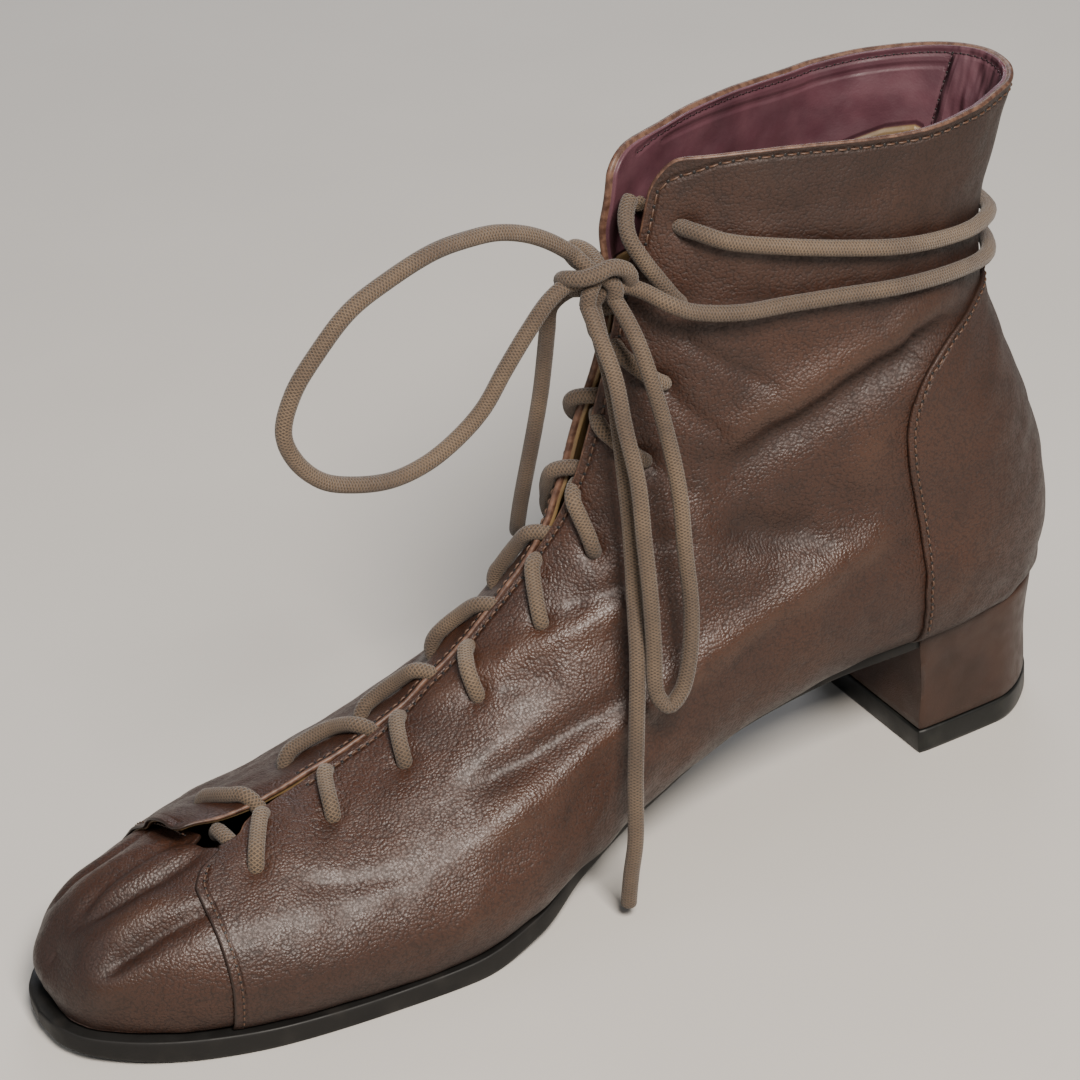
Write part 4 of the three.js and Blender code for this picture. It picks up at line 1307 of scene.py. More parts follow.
# Troughs and ridges of the worn leather, by row and share of girth, in millimetres.
ANKLE_FOLD = Fold(
    ((17.2, -0.27), (17.46, -0.3), (18.65, -0.35), (19.5, -0.41), (20.1, -0.465), (20.6, -0.53), (21, -0.61),
     (21.36, -0.69), (21.6, -0.77), (21.75, -0.84)),
    -3.4,
    3.6,
    lean=-0.3,
    fade=0.3,
    puff=1.9,
    puff_at=6.5,
    puff_width=4.5,
)
HEEL_SWELL = Fold(
    ((17.6, -0.41), (18.4, -0.455), (19.3, -0.495), (20.1, -0.55), (20.7, -0.62)), 1.3, 6, fade=0.35
)
LONG_RIDGE = Fold(
    ((6, -0.44), (7.8, -0.42), (9.4, -0.46), (10.6, -0.5), (12.1, -0.522), (13.7, -0.52), (15, -0.502),
     (16.3, -0.495), (17.8, -0.51)),
    1.7,
    4.2,
    fade=0.2,
)
DIMPLE = Fold(
    ((14.4, -0.31), (14.7, -0.36), (15.1, -0.41), (15.65, -0.435), (16.4, -0.44)), -2.4, 5, fade=0.4
)
VAMP_VALLEY = Fold(
    ((7.2, -0.3), (7.9, -0.328), (9.03, -0.377), (10.04, -0.443), (11, -0.47)), -1.7, 3.2, fade=0.3
)
VAMP_BAND = Fold(
    ((7.4, -0.07), (7.9, -0.09), (9.43, -0.188), (10.81, -0.297), (12.2, -0.37)), 1.2, 3.4, fade=0.25
)
UPPER_PLEAT = Fold(
    ((4.75, -0.065), (4.26, -0.085), (3.76, -0.09), (2.83, -0.073), (1.4, -0.008)), -1.5, 2, fade=0.25
)
LOWER_PLEAT = Fold(
    ((4.5, -0.275), (4.09, -0.288), (3.58, -0.308), (2.89, -0.38), (2.29, -0.5)), -1.5, 2, fade=0.25
)
PLEAT_ROLLS = (
    Fold(((4.45, 0.03), (3.5, 0.015), (2.5, 0.03)), 0.7, 3.6, fade=0.45),
    Fold(((4.5, -0.185), (3.5, -0.195), (2.8, -0.22), (1.9, -0.25)), 1.3, 3.6, fade=0.45),
    Fold(((4.3, -0.4), (3.5, -0.43), (2.8, -0.52), (2.2, -0.62)), 0.9, 3.6, fade=0.45),
)
SMALL_WRINKLES = (
    Fold(((20.6, -0.2), (20.1, -0.28), (19.7, -0.38)), -0.6, 1.6),
    Fold(((19.6, -0.17), (18.9, -0.22), (18.2, -0.3)), -0.7, 1.8),
    Fold(((17.2, -0.16), (16.2, -0.23), (15.4, -0.3)), -0.7, 2),
    Fold(((12.6, -0.2), (13.2, -0.28), (13.9, -0.34)), -0.6, 2.2),
    Fold(((10.4, -0.21), (11.4, -0.27), (12.4, -0.32)), -0.6, 2),
    Fold(((8.6, -0.2), (9.2, -0.25), (9.8, -0.31)), -0.5, 1.8),
    Fold(((5.3, -0.3), (5.9, -0.36), (6.7, -0.42)), -0.5, 2),
    Fold(((16, -0.66), (17.5, -0.64), (18.8, -0.63)), -0.5, 2.4),
    Fold(((23.6, -0.3), (23.9, -0.45), (23.8, -0.62)), -0.35, 2.6),
)
NEAR_CREASES = (
    ANKLE_FOLD, HEEL_SWELL, LONG_RIDGE, DIMPLE, VAMP_VALLEY, VAMP_BAND, UPPER_PLEAT, LOWER_PLEAT,
    *PLEAT_ROLLS, *SMALL_WRINKLES,
)
FAR_SHARE = 0.75
# The outer side isn't in the photograph, so it repeats the inner side's creases, a little weaker.
CREASES = NEAR_CREASES + tuple(
    fold.mirrored(FAR_SHARE) for fold in NEAR_CREASES if fold is not PLEAT_ROLLS[0]
)
COUNTER_STIFFNESS = 0.88
STIFF_FROM = (-0.06, 0.005)
SWELLS = (Undulation(0.22, 34.0), Undulation(0.12, 15.0, seed=11), Undulation(0.05, 7.0, waves=22, seed=5))


def relief(points: Array, normals: Array, row: Array, around: Array) -> Array:
    """How far creases and swells move each point of the skin outwards, with few creases on the stiff counter.

    Args:
        points: Points of the skin.
        normals: Their outward directions.
        row: Their rows.
        around: Their shares of girth.

    Returns:
        The moves, in millimetres.
    """
    total = np.zeros(len(points))
    for part in CREASES:
        total += part.heights(points, normals)
    front = LAST.counter_front(row, around < 0)
    total *= 1 - COUNTER_STIFFNESS * smooth_step(np.abs(around) - front, *STIFF_FROM)
    for part in SWELLS:
        total += part.heights(points)
    return total


@dataclass(frozen=True)
class CollarFlare:
    """How the worn collar stands higher at its front corners, and its outer flap leans forwards."""

    far_rows: Span = (22.8, 25.0)
    near_rows: Span = (23.6, 25.0)
    near_around: Span = (0.12, 0.2)
    rise_fade: Span = (0.3, 0.62)
    rise: Triple = (0.0, 0.0, 3.3)
    lean_rows: Span = (20.5, 23.2)
    lean_fade: Span = (0.1, 0.32)
    lean: Triple = (-3.2, 1.4, 0.0)

    def moves(self, row: Array, around: Array) -> Array:
        """The move of each place: its rise and its lean, each times smooth steps in row and share of girth.

        Args:
            row: Rows.
            around: Shares of girth.

        Returns:
            The moves, in millimetres.
        """
        far = around > 0
        near_rise = smooth_step(row, *self.near_rows) * smooth_step(-around, *self.near_around)
        rise = np.where(far, smooth_step(row, *self.far_rows), near_rise)
        rise = rise * (1 - smooth_step(np.abs(around), *self.rise_fade))
        lean = smooth_step(row, *self.lean_rows) * (1 - smooth_step(around, *self.lean_fade)) * far
        return rise[..., None] * self.rise + lean[..., None] * self.lean


COLLAR_FLARE = CollarFlare()


def on_leather(row: Array, around: Array, offset: Array | float) -> Array:
    """Points at an offset from the creased leather.

    Args:
        row: Row of each point.
        around: Share of girth of each point.
        offset: Distance outwards, in millimetres.

    Returns:
        The points.
    """
    row, around = LAST.canonical(row, around)
    points, normals = LAST.point(row, around), LAST.normal(row, around)
    height = relief(points, normals, row, around)
    return points + normals * (height + np.asarray(offset))[..., None] + COLLAR_FLARE.moves(row, around)


@dataclass
class Laces:
    """One waxed braid: crossings over the throat, wraps round the ankle, a knot, loops and loose ends."""

    radius: float = 1.75
    sides: int = 14
    spacing: float = 0.8
    # A crossing's path, as distance and height over the leather: out of its hole, past its middle, and
    # before its far end.
    leaving: Pairs = ((0.0, -3.4), (0.05, -0.4), (2.2, 1.4), (4.5, 1.7))
    middle: Span = (1.0, 1.8)
    diving: Pairs = ((3.0, 1.3), (0.0, -3.4))
    near_runs: tuple[Pairs, ...] = (
        ((5.46, -0.055), (5.25, -0.13), (5.05, -0.205)),
        ((6.28, -0.03), (6.15, -0.1), (6.05, -0.175)),
        ((7.3, -0.03), (7.13, -0.095), (7, -0.16)),
        ((8.8, -0.03), (8.56, -0.1), (8.35, -0.17)),
        ((10.9, -0.04), (10.4, -0.115), (10, -0.19)),
        ((13.9, -0.06), (12.9, -0.125), (12, -0.19)),
        ((17.6, -0.075), (17.1, -0.135), (16.5, -0.195)),
        ((19.8, -0.075), (19.5, -0.14), (19.2, -0.2)),
    )
    far_runs: tuple[Pairs, ...] = (
        ((5.05, 0.205), (5.2, 0.12), (5.4, 0.03), (5.46, -0.02)),
        ((6.05, 0.175), (6.6, 0.15), (6.83, 0.05), (6.95, 0)),
        ((7, 0.16), (7.5, 0.15), (7.9, 0.05), (8, 0)),
        ((8.35, 0.17), (9.1, 0.12), (9.6, 0.03)),
        ((10, 0.19), (10.9, 0.11), (11.6, 0.03)),
        ((12, 0.19), (13.4, 0.1), (14.6, 0.03)),
        ((16.5, 0.195), (17.3, 0.1), (18.2, 0.04)),
        ((19.2, 0.2), (19.9, 0.1), (20.6, 0.05)),
    )
    hollow_bar: Triples = (
        (4.89, 0.02, -3),
        (4.9, -0.01, -1.6),
        (4.92, -0.05, -1.3),
        (4.95, -0.085, -1.8),
        (4.97, -0.12, -3.4),
    )
    inner_wrap: Triples = (
        (23.3, -0.2, -3.2), (23.29, -0.218, -0.4), (23.26, -0.25, 1.8), (23.1, -0.3, 2.2),
        (23.03, -0.4, 2.2), (23, -0.5, 2.2), (23, -0.6, 2.2), (23, -0.7, 2.2), (23, -0.8, 2.2),
        (23, -0.9, 2.1), (23, -0.96, 2), (22.98, 1, 2), (22.9, 0.93, 2), (22.7, 0.85, 2.1),
        (22.45, 0.75, 2.1), (22.2, 0.6, 2.3), (21.9, 0.48, 2.3), (21.6, 0.36, 2.5), (21.4, 0.27, 2.8),
        (21.4, 0.2, 3.4), (21.5, 0.13, 4),
    )
    inner_wrap_end: Triples = ((147.4, 5.2, 134.2), (145.2, 0.95, 134.9))
    outer_wrap: Triples = (
        (23.3, 0.2, -3.2), (23.29, 0.218, -0.4), (23.26, 0.25, 2), (23.1, 0.3, 2.3), (23.05, 0.42, 2.3),
        (23.05, 0.54, 2.5), (23.05, 0.66, 3.9), (22.98, 0.76, 5.7), (22.85, 0.84, 5.7), (22.65, 0.92, 5),
        (22.45, 1, 3.3), (22.42, -0.94, 2.5), (22.42, -0.85, 2.3), (22.4, -0.74, 2.3),
        (22.25, -0.62, 2.4), (22.05, -0.5, 2.4), (21.75, -0.4, 2.8), (21.45, -0.32, 4.4),
    )
    outer_wrap_end: Triples = (
        (159, -17.5, 127.5), (154.5, -16, 130), (151.5, -11.8, 132), (148.8, -9.1, 133.2),
    )
    top_strand: Triples = (
        (23.9, -0.03, -3.5), (23.45, -0.06, -0.6), (22.9, -0.095, 2.2), (22.3, -0.14, 2.3),
        (21.75, -0.185, 2.2), (21.3, -0.215, 0.4), (21.15, -0.228, -3.2),
    )
    bow_loop: Triples = (
        (140.1, -3.8, 140.4), (132, -3.6, 147), (123, -4.4, 151), (115, -5, 152), (107, -6, 152),
        (97, -6, 149), (88, -6, 145), (80, -6, 138), (74, -6, 131), (71, -6, 123), (73, -6, 116),
        (78, -6, 110), (84, -6, 107), (93, -6, 105), (101, -6, 106), (108, -6, 109), (115, -6, 114),
        (121, -6, 121.5), (127, -6, 128.5), (132, -6, 133.5), (136.6, -6, 136),
    )
    hanging_loop: Triples = (
        (145.2, -9.6, 131.6), (146.5, -15, 125), (147, -19, 118), (148, -23, 106), (148, -27, 94),
        (147, -30, 81), (146, -33, 68), (143, -36, 58), (140, -37, 52), (137, -37, 50), (135, -36, 53),
        (136, -34, 63), (137, -32, 74), (138, -29, 86), (139, -26, 98), (139, -22, 109),
        (139.5, -18, 119), (139.4, -12.6, 126.6), (139.5, -8.6, 131.3),
    )
    inner_end: Triples = (
        (142.1, -6.1, 129.7), (142, -9, 122), (142, -12, 115), (141, -16, 105), (140, -19, 95),
        (138.6, -22.4, 83), (136.4, -26.2, 71), (133, -32, 60), (130, -35.5, 48), (127.5, -38, 36),
        (126, -39, 21), (125, -38, 12), (124.5, -37, 4),
    )
    outer_end: Triples = (
        (140.05, -1.4, 132.1), (136.6, 1.8, 128), (136, 3, 122), (136, 5, 115), (135.4, 6.7, 106.4),
        (134.4, 8.5, 97.8), (133.5, 10.4, 90), (132.8, 12.5, 82.6), (132.6, 14.9, 75.9), (133, 17.6, 70),
        (134.2, 20.6, 66),
    )
    # The knot's strands and the band round them, in millimetres to the camera's right, up and towards it.
    knot_middle: Triple = (143.0, -5.6, 134.6)
    knot_strands: tuple[Triples, ...] = (
        ((-3.8, 4.8, 2.7), (-1.8, 2.9, 3.2), (0.2, 0.9, 2.6), (-0.8, -1.2, 0.4), (-3.2, -1.4, -1.8),
         (-4.5, -1.3, -3.3)),
        ((-5.4, -0.9, 3.5), (-3.4, -0.5, 3.3), (-0.6, 0.4, 2.8), (2.4, 0.4, 2.6), (4.2, -1.4, 2),
         (4.1, -3.6, 0.6)),
        ((-1.3, -5.1, 2), (-0.8, -2.3, 3.2), (0.9, 2, 2.2), (-0.3, 5, 0), (-2.5, 6.8, -1.8),
         (-4.2, 7.2, -3.8), (-4.6, 6.1, -5.6), (-3.1, 4.5, -6.4), (-1.3, 3.7, -5.7)),
        ((-0.2, -4.7, -1.8), (1.2, -2.6, -0.4), (4, -1.2, 0.2), (6.8, -0.9, -0.3)),
        ((-0.6, -0.9, -2.6), (-3.8, -0.6, -2.4), (-6.2, 0, -0.4), (-6.4, 0.2, 2.6), (-4.8, 0.1, 5.3),
         (-2.4, 0, 6.4), (0.6, 0.9, 6.5), (3.4, 2.3, 5.8), (6.2, 2.1, 4), (7.4, 0.7, 1.6),
         (6.8, -0.4, -0.8), (4.2, -0.6, -2.4), (1, -0.6, -2.8)),
    )

    def run(self, name: str, paths: list[Array], node: str) -> bpy.types.Object:
        """Make one piece of lace from one or more centre lines.

        Args:
            name: The piece's name.
            paths: The centre lines, in the shoe's frame.
            node: The CAD node that it stands for.

        Returns:
            The piece.
        """
        tubes = [tube(path, self.radius, self.sides) for path in paths]
        uv = np.concatenate([coordinates for _, coordinates in tubes])
        piece = new_piece(name, joined([parts for parts, _ in tubes]), [Finish.LACE.material()], uv=uv)
        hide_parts(node)
        return piece

    def over_skin(self, table: Triples) -> Array:
        """Points given by row, share of girth and offset from the creased leather."""
        values = np.array(table, float)
        return on_leather(values[:, 0], values[:, 1], values[:, 2])

    def crossing(self, places: Pairs, hole_first: bool) -> Array:
        """A lace that comes out of one gap and dives into another, lying on the leather between them.

        Args:
            places: Rows and shares of girth from one end to the other.
            hole_first: Whether the lace hole is at the first place, or else at the last.

        Returns:
            The centre line.
        """
        keys = np.array(places if hole_first else places[::-1], float)
        length = run_length(LAST.point(*keys.T))
        (past, top), leaving, diving = self.middle, np.array(self.leaving), np.array(self.diving)
        at = np.concatenate([leaving[:, 0], [length[-1] / 2 + past], length[-1] - diving[:, 0]])
        offset = np.concatenate([leaving[:, 1], [top], diving[:, 1]])
        row = np.interp(at, length, keys[:, 0])
        around = np.interp(at, length, keys[:, 1])
        return smooth_path(on_leather(row, around, offset), self.spacing)

    def build(self) -> None:
        for number, (near, far) in enumerate(zip(self.near_runs, self.far_runs), 1):
            paths = [self.crossing(near, False), self.crossing(far, True)]
            if number == 1:
                paths.append(smooth_path(self.over_skin(self.hollow_bar), self.spacing))
            self.run(f"crossing_{number}", paths, f"lace_crossing_{number}")
        strand = smooth_path(self.over_skin(self.top_strand), self.spacing)
        self.run("top_strand", [strand], "lace_top_strand")
        for side, table, end in (
            ("inner", self.inner_wrap, self.inner_wrap_end),
            ("outer", self.outer_wrap, self.outer_wrap_end),
        ):
            path = smooth_path(np.concatenate([self.over_skin(table), np.array(end, float)]), self.spacing)
            self.run(f"wrap_{side}", [path], f"lace_wrap_{side}")
        knot = self.knot()
        self.free("bow_loop", self.bow_loop, "object", (knot,))
        self.free("hanging_loop", self.hanging_loop, "object")
        self.free("end_inner", self.inner_end, "bare")
        self.free("end_outer", self.outer_end, "bare")

    def free(
        self,
        name: str,
        points: Triples,
        far_end: str,
        with_pieces: tuple[bpy.types.Object, ...] = (),
    ) -> None:
        """Args:
            name: The run's name.
            points: Its points, in the shoe's frame.
            far_end: Not used.
            with_pieces: Not used.
        """
        path = smooth_path(np.array(points, float), self.spacing)
        piece = self.run(name, [path], f"lace_{name}")

    def knot(self) -> bpy.types.Object:
        """Tie the knot: four strands that join the lace's runs, and a band round them."""
        middle, axes = np.array(self.knot_middle), np.stack(Studio().axes())
        paths = [smooth_path(middle + np.array(points) @ axes, self.spacing) for points in self.knot_strands]
        return self.run("knot", paths, "lace_knot")


@dataclass(frozen=True)
class Seam:
    """A row of stitches along places of the skin, by row and share of girth."""

    path: Pairs
    lift: float = 0.0
    pitch: float = 2.4
    thread: float = 0.24
    inside: bool = False
    rings: int = 6
    sides: int = 6
    shown: float = 0.84
    bulge: Span = (1.5, -0.9)
    swell: Span = (0.4, 0.6)
    pit_profile: Pairs = ((1.6, -0.5), (1.5, 0.1), (0.8, 0.25))
    pit_sides: int = 8
    pit_stretch: float = 1.1

    def distance(self, points: Array, reach: float) -> Array:
        """How far each point is from the seam.

        Args:
            points: Points of the skin.
            reach: The largest distance that matters, in millimetres.

        Returns:
            The distances, no larger than the reach.
        """
        near, _, away = from_line(points, LAST.point(*between_places(self.path, SEAM_STEPS)), reach)
        result = np.full(len(points), reach)
        result[near] = np.minimum(np.linalg.norm(away, axis=-1).min(axis=1), reach)
        return result

    def stitches(self) -> tuple[MeshParts, MeshParts]:
        """The threads between the needle holes, and a dark dome of painted shade at each hole.

        A stitch is a thin tube that is shown over most of the way from hole to hole. Its height and its
        radius are each an amount times cos(a) plus another, in threads, so that its ends go into the leather.

        Returns:
            The threads and the painted shade at the holes.
        """
        row, around = between_places(self.path, SEAM_STEPS)
        length = run_length(LAST.point(row, around))
        count = max(2, round(length[-1] / self.pitch))
        at = np.linspace(0, length[-1], count + 1)
        row, around = np.interp(at, length, row), np.interp(at, length, around)
        points = on_leather(row, around, self.lift)
        out = LAST.normal(row, around) * (-1.0 if self.inside else 1.0)
        middle, half = (points[1:] + points[:-1]) / 2, (points[1:] - points[:-1]) / 2
        normal = unit(out[1:] + out[:-1])
        across = np.cross(normal, unit(half))
        share = np.linspace(-1, 1, self.rings)
        angle = np.linspace(0, 2 * math.pi, self.sides, endpoint=False)
        arch = np.cos(share * math.pi / 2)
        height = self.thread * (self.bulge[0] * arch + self.bulge[1])
        width = self.thread * (self.swell[0] * arch + self.swell[1])
        centre = middle[:, None] + share[None, :, None] * self.shown * half[:, None]
        centre = centre + height[None, :, None] * normal[:, None]
        ring = np.cos(angle)[None, None, :, None] * across[:, None, None]
        ring = ring + np.sin(angle)[None, None, :, None] * normal[:, None, None]
        vertices = centre[:, :, None] + width[None, :, None, None] * ring
        number = np.arange(count * self.rings * self.sides).reshape(count, self.rings, self.sides)
        following = np.roll(number, -1, axis=2)
        quads = np.stack([number[:, :-1], number[:, 1:], following[:, 1:], following[:, :-1]], axis=-1)
        caps = many_caps(number[:, 0], number[:, -1], SIX_SIDES)
        faces = np.concatenate([quads.reshape(-1, 4), caps])
        threads = MeshParts(vertices.reshape(-1, 3), faces, np.zeros(len(faces), int))
        return threads, self.hole_shadows(points, out, np.gradient(points, axis=0))

    def hole_shadows(self, points: Array, out: Array, along: Array) -> MeshParts:
        """Flat dark domes of painted shade on the needle holes.

        Args:
            points: The holes' places.
            out: The outward direction at each.
            along: The seam's direction at each.

        Returns:
            The domes.
        """
        side = unit(np.cross(out, along))
        along = np.cross(side, out)
        angle = np.linspace(0, 2 * math.pi, self.pit_sides, endpoint=False)
        flat = self.pit_stretch * np.cos(angle)[None, :, None] * along[:, None]
        flat = flat + np.sin(angle)[None, :, None] * side[:, None]
        rings = [
            points[:, None] + self.thread * (radius * flat + height * out[:, None])
            for radius, height in self.pit_profile
        ]
        number = np.arange(len(points) * len(rings) * self.pit_sides).reshape(-1, len(rings), self.pit_sides)
        following = np.roll(number, -1, axis=2)
        quads = np.stack([number[:, :-1], following[:, :-1], following[:, 1:], number[:, 1:]], axis=-1)
        caps = many_caps(number[:, -1], number[:, 0], EIGHT_SIDES)
        faces = np.concatenate([quads.reshape(-1, 4), caps])
        return MeshParts(np.stack(rings, axis=1).reshape(-1, 3), faces, np.zeros(len(faces), int))


def beside_throat(first: float, last: float, side: int, inset: float, count: int = 24) -> tuple:
    """Places beside the throat's edge.

    Args:
        first: The first row.
        last: The last row.
        side: -1 for the inner quarter, 1 for the outer one.
        inset: How far in from the edge, as a share of girth.
        count: How many places.

    Returns:
        Rows and shares of girth.
    """
    rows = np.linspace(first, last, count)
    edge = LAST.throat.read("in_edge" if side < 0 else "out_edge", rows)
    return tuple(zip(rows.tolist(), (edge + side * inset).tolist()))


def behind_toe_seam(first: float, last: float, inset: float, count: int = 24) -> tuple:
    """Places behind the toe seam, from one share of girth to another, an inset in rows from it."""
    around = np.linspace(first, last, count)
    return tuple(zip((LAST.toe_seam.read("row", around) + inset).tolist(), around.tolist()))


# How far in rows the counter's stitches keep from its ends, and how near to the back seam they may be.
COUNTER_STITCHES = (0.4, 0.12)
NEAR_BACK = 0.995
# How the collar's seam turns down at its corner, as steps down in rows and in share of girth.
COLLAR_TURN = ((0.05, 0.045), (0.22, 0.085))


def behind_counter_seam(side: int, inset: float, count: int = 40) -> tuple:
    """Places on the counter behind its front edge, from the seat to the back seam.

    Args:
        side: -1 for the inner side, 1 for the outer one.
        inset: How far in from the edge, as a share of girth.
        count: How many places.

    Returns:
        Rows and shares of girth.
    """
    start, end = COUNTER_STITCHES
    rows = np.linspace(COUNTER_SEAM[0][0] + start, COUNTER_SEAM[-1][0] - end, count)
    around = side * np.minimum(LAST.counter_front(rows, side < 0) + inset, NEAR_BACK)
    return tuple(zip(rows.tolist(), around.tolist()))


def collar_line(row: float, side: int, corner: float) -> tuple:
    """Places under the collar's edge from the back seam to the front corner, and down beside the throat."""
    level = tuple((row, side * share) for share in np.linspace(1.0, corner, 20).tolist())
    turn = tuple((row - down, side * (corner - back)) for down, back in COLLAR_TURN)
    return level + turn


QUARTER_SEAMS = (
    Seam(collar_line(24.885, -1, 0.315) + beside_throat(24.45, 22.3, -1, 0.016, 12), pitch=2.7),
    Seam(collar_line(24.885, 1, 0.27) + beside_throat(24.45, 22.3, 1, 0.016, 12), pitch=2.7),
    Seam(beside_throat(22.2, 6.0, -1, 0.018, 48), pitch=2.2),
    Seam(beside_throat(22.2, 6.0, 1, 0.018, 48), pitch=2.2),
    Seam(behind_toe_seam(-0.995, -0.15, 0.07), pitch=1.8, thread=0.2),
    Seam(behind_toe_seam(0.06, 0.995, 0.07), pitch=1.8, thread=0.2),
)
COUNTER_SEAMS = (
    Seam(behind_counter_seam(-1, 0.0075), lift=1.1, pitch=2.1),
    Seam(behind_counter_seam(1, 0.0075), lift=1.1, pitch=2.1),
)
LINING_SEAMS = (
    Seam(collar_line(24.9, -1, 0.315), lift=-2.2, pitch=2.0, thread=0.16, inside=True),
    Seam(collar_line(24.9, 1, 0.27), lift=-2.2, pitch=2.0, thread=0.16, inside=True),
    Seam(((24.88, 0.9), (24.2, 0.897), (23.4, 0.888)), lift=-2.2, pitch=2.0, thread=0.16, inside=True),
    Seam(((24.88, -0.9), (24.2, -0.897), (23.4, -0.888)), lift=-2.2, pitch=2.0, thread=0.16, inside=True),
)
# Edges of the lining's parts that lie under a fold and show no thread.
LINING_LINES = (
    Seam(((24.64, 0.25), (24.6, 0.4), (24.62, 0.6), (24.68, 0.75), (24.7, 0.89))),
    Seam(((24.64, -0.25), (24.6, -0.4), (24.62, -0.6), (24.68, -0.75), (24.7, -0.89))),
)


@dataclass
class Stitching:
    """All the seams' threads, and the painted shade of the needle holes between them."""

    def build(self) -> None:
        """Make the threads and the holes."""
        outside = [seam.stitches() for seam in QUARTER_SEAMS + COUNTER_SEAMS]
        inside = [seam.stitches() for seam in LINING_SEAMS]
        groups = (
            ("seam_threads", [pair[0] for pair in outside], Finish.THREAD),
            ("lining_threads", [pair[0] for pair in inside], Finish.LINING_THREAD),
            ("needle_hole_shadows", [pair[1] for pair in outside + inside], Finish.HOLE_SHADOW),
        )
        for name, meshes, finish in groups:
            new_piece(name, joined(meshes), [finish.material()])


@dataclass
class Upper:
    """Toe piece, two quarters that run up into the shaft and a heel counter, sewn over one last."""

    lines: int = 170
    dense_row: float = 24.2
    dense_lines: int = 22
    crowding: float = 1.7
    columns: int = 96
    wall: float = 2.2
    seam_rows: Span = (4.4, 7.5)
    seam_wall: float = 1.15
    seam_wall_rows: Span = (4.4, 6.0)
    toe_drop: float = 0.9
    under_drop: float = 1.35
    under_rows: float = 0.28
    under_from: Span = (-0.05, 0.05)
    under_inner: Span = (0.1, 0.16)
    under_outer: Span = (0.02, 0.08)
    toe_lines: int = 92
    toe_columns: int = 150
    toe_sink: float = 1.0
    sink_rows: Span = (-0.2, 0.1)
    sink_around: tuple[Span, Span] = ((-0.06, 0.02), (0.16, 0.3))
    toe_lining: Span = (0.5, 1.2)
    counter_lines: int = 90
    counter_columns: int = 44
    counter_lift: float = 1.1
    counter_sink: float = 0.25
    skive: Span = (0.2, 3.0)
    # Each rim as depth and reach, and the material of the outside, the inside and each band of the rim.
    rim: Pairs = (
        (-0.04, 0.25), (0.06, 0.6), (0.26, 0.75), (0.46, 0.6), (0.58, 0.25), (0.66, 0.1), (0.8, 0.15),
        (0.94, 0.1),
    )
    rim_slots: tuple[int, ...] = (0, 1, 0, 2, 2, 2, 2, 2, 1, 1, 1)
    thin_rim: Pairs = ((0.12, 0.2), (0.35, 0.3), (0.7, 0.3), (0.95, 0.15))
    toe_slots: tuple[int, ...] = (0, 1, 0, 2, 2, 2, 0)
    counter_slots: tuple[int, ...] = (0, 0, 0, 0, 2, 0, 0)
    lining_top: Pairs = (
        (0, 21.6), (0.5, 22.5), (0.6, 23.02), (0.7, 23.36), (0.75, 23.55), (0.8, 23.7), (0.86, 23.78),
        (0.88, 23.72), (0.9, 21), (1, 19),
    )
    facing_blend: float = 0.8
    pleat_around: Span = (0.895, 0.915)
    pleat_rows: Span = (18.0, 20.0)
    fray_rows: Span = (0.05, 0.4)
    puckers: float = 1.1
    pucker_width: float = 2.6
    seam_reach: float = 4.0
    flap_lift: float = 3.0
    flap_rows: Span = (4.4, 5.5)
    flap_around: Span = (0.16, 0.34)
    # Where the leather is polished paler with a painted highlight on ridges, darkened with painted shade in
    # troughs, darkened by burnishing at the toe's tip, and darkened by burnishing and painted shade just over
    # the feather line and low at the heel: heights of ridges and of troughs, distances behind the toe's tip
    # and over the seat, and how dark each of them gets.
    ridge_heights: Span = (0.1, 1.1)
    trough_depths: Span = (0.5, 2.2)
    trough_painted_shade: float = 0.45
    toe_shade: Span = (-34.0, -2.0)
    edge_heights: Span = (0.5, 9.0)
    front_burnish_and_shade: float = 0.6
    rear_rows: Span = (11.0, 14.0)
    rear_heights: Span = (3.0, 26.0)
    rear_burnish_and_shade: float = 0.4
    matt_rows: Span = (18.0, 21.5)
    matt: float = 0.6

    def build(self) -> None:
        """Make the three layers."""
        self.quarters()
        self.toe()
        self.counter()

    def sewn(self, name: str, shell: MeshParts, slots: tuple[int, ...]) -> bpy.types.Object:
        """Make a layer of leather, lining and cut edge.

        Args:
            name: The layer's name.
            shell: Its closed shell.
            slots: The material of each layer of its faces, in that order.

        Returns:
            The piece.
        """
        kinds = (Finish.UPPER, Finish.LINING, Finish.EDGE)
        piece = new_piece(name, shell, [kind.material() for kind in kinds], slots)
        return piece

    def seam_row(self, row: Array, around: Array) -> Array:
        """Move the lowest lines of the quarters onto the toe seam, fading upwards."""
        low, high = self.seam_rows
        move = LAST.toe_seam.read("row", np.clip(around, -1, 1)) - low
        return row + move * (1 - smooth_step(row, low, high))

    def quarter_places(self, side: int) -> tuple[Array, Array]:
        """Rows and shares of girth of one quarter's grid, from its lower edge to the throat.

        Args:
            side: -1 for the inner quarter, 1 for the outer one.

        Returns:
            Two arrays of lines by columns.
        """
        low = LAST.row_lines(self.seam_rows[0], self.dense_row, self.lines)
        crowded = np.linspace(1, 0, self.dense_lines) ** self.crowding
        high = COLLAR_ROW - (COLLAR_ROW - self.dense_row) * crowded
        rows = np.concatenate([low, high[1:]])[:, None]
        share = np.linspace(0, 1, self.columns)[None, :]
        column = "in_edge" if side < 0 else "out_edge"
        edge = LAST.throat.read(column, self.seam_row(rows, LAST.throat.read(column, rows)))
        around = -1 + (edge + 1) * share if side < 0 else edge + (1 - edge) * share
        return self.seam_row(rows, around), around

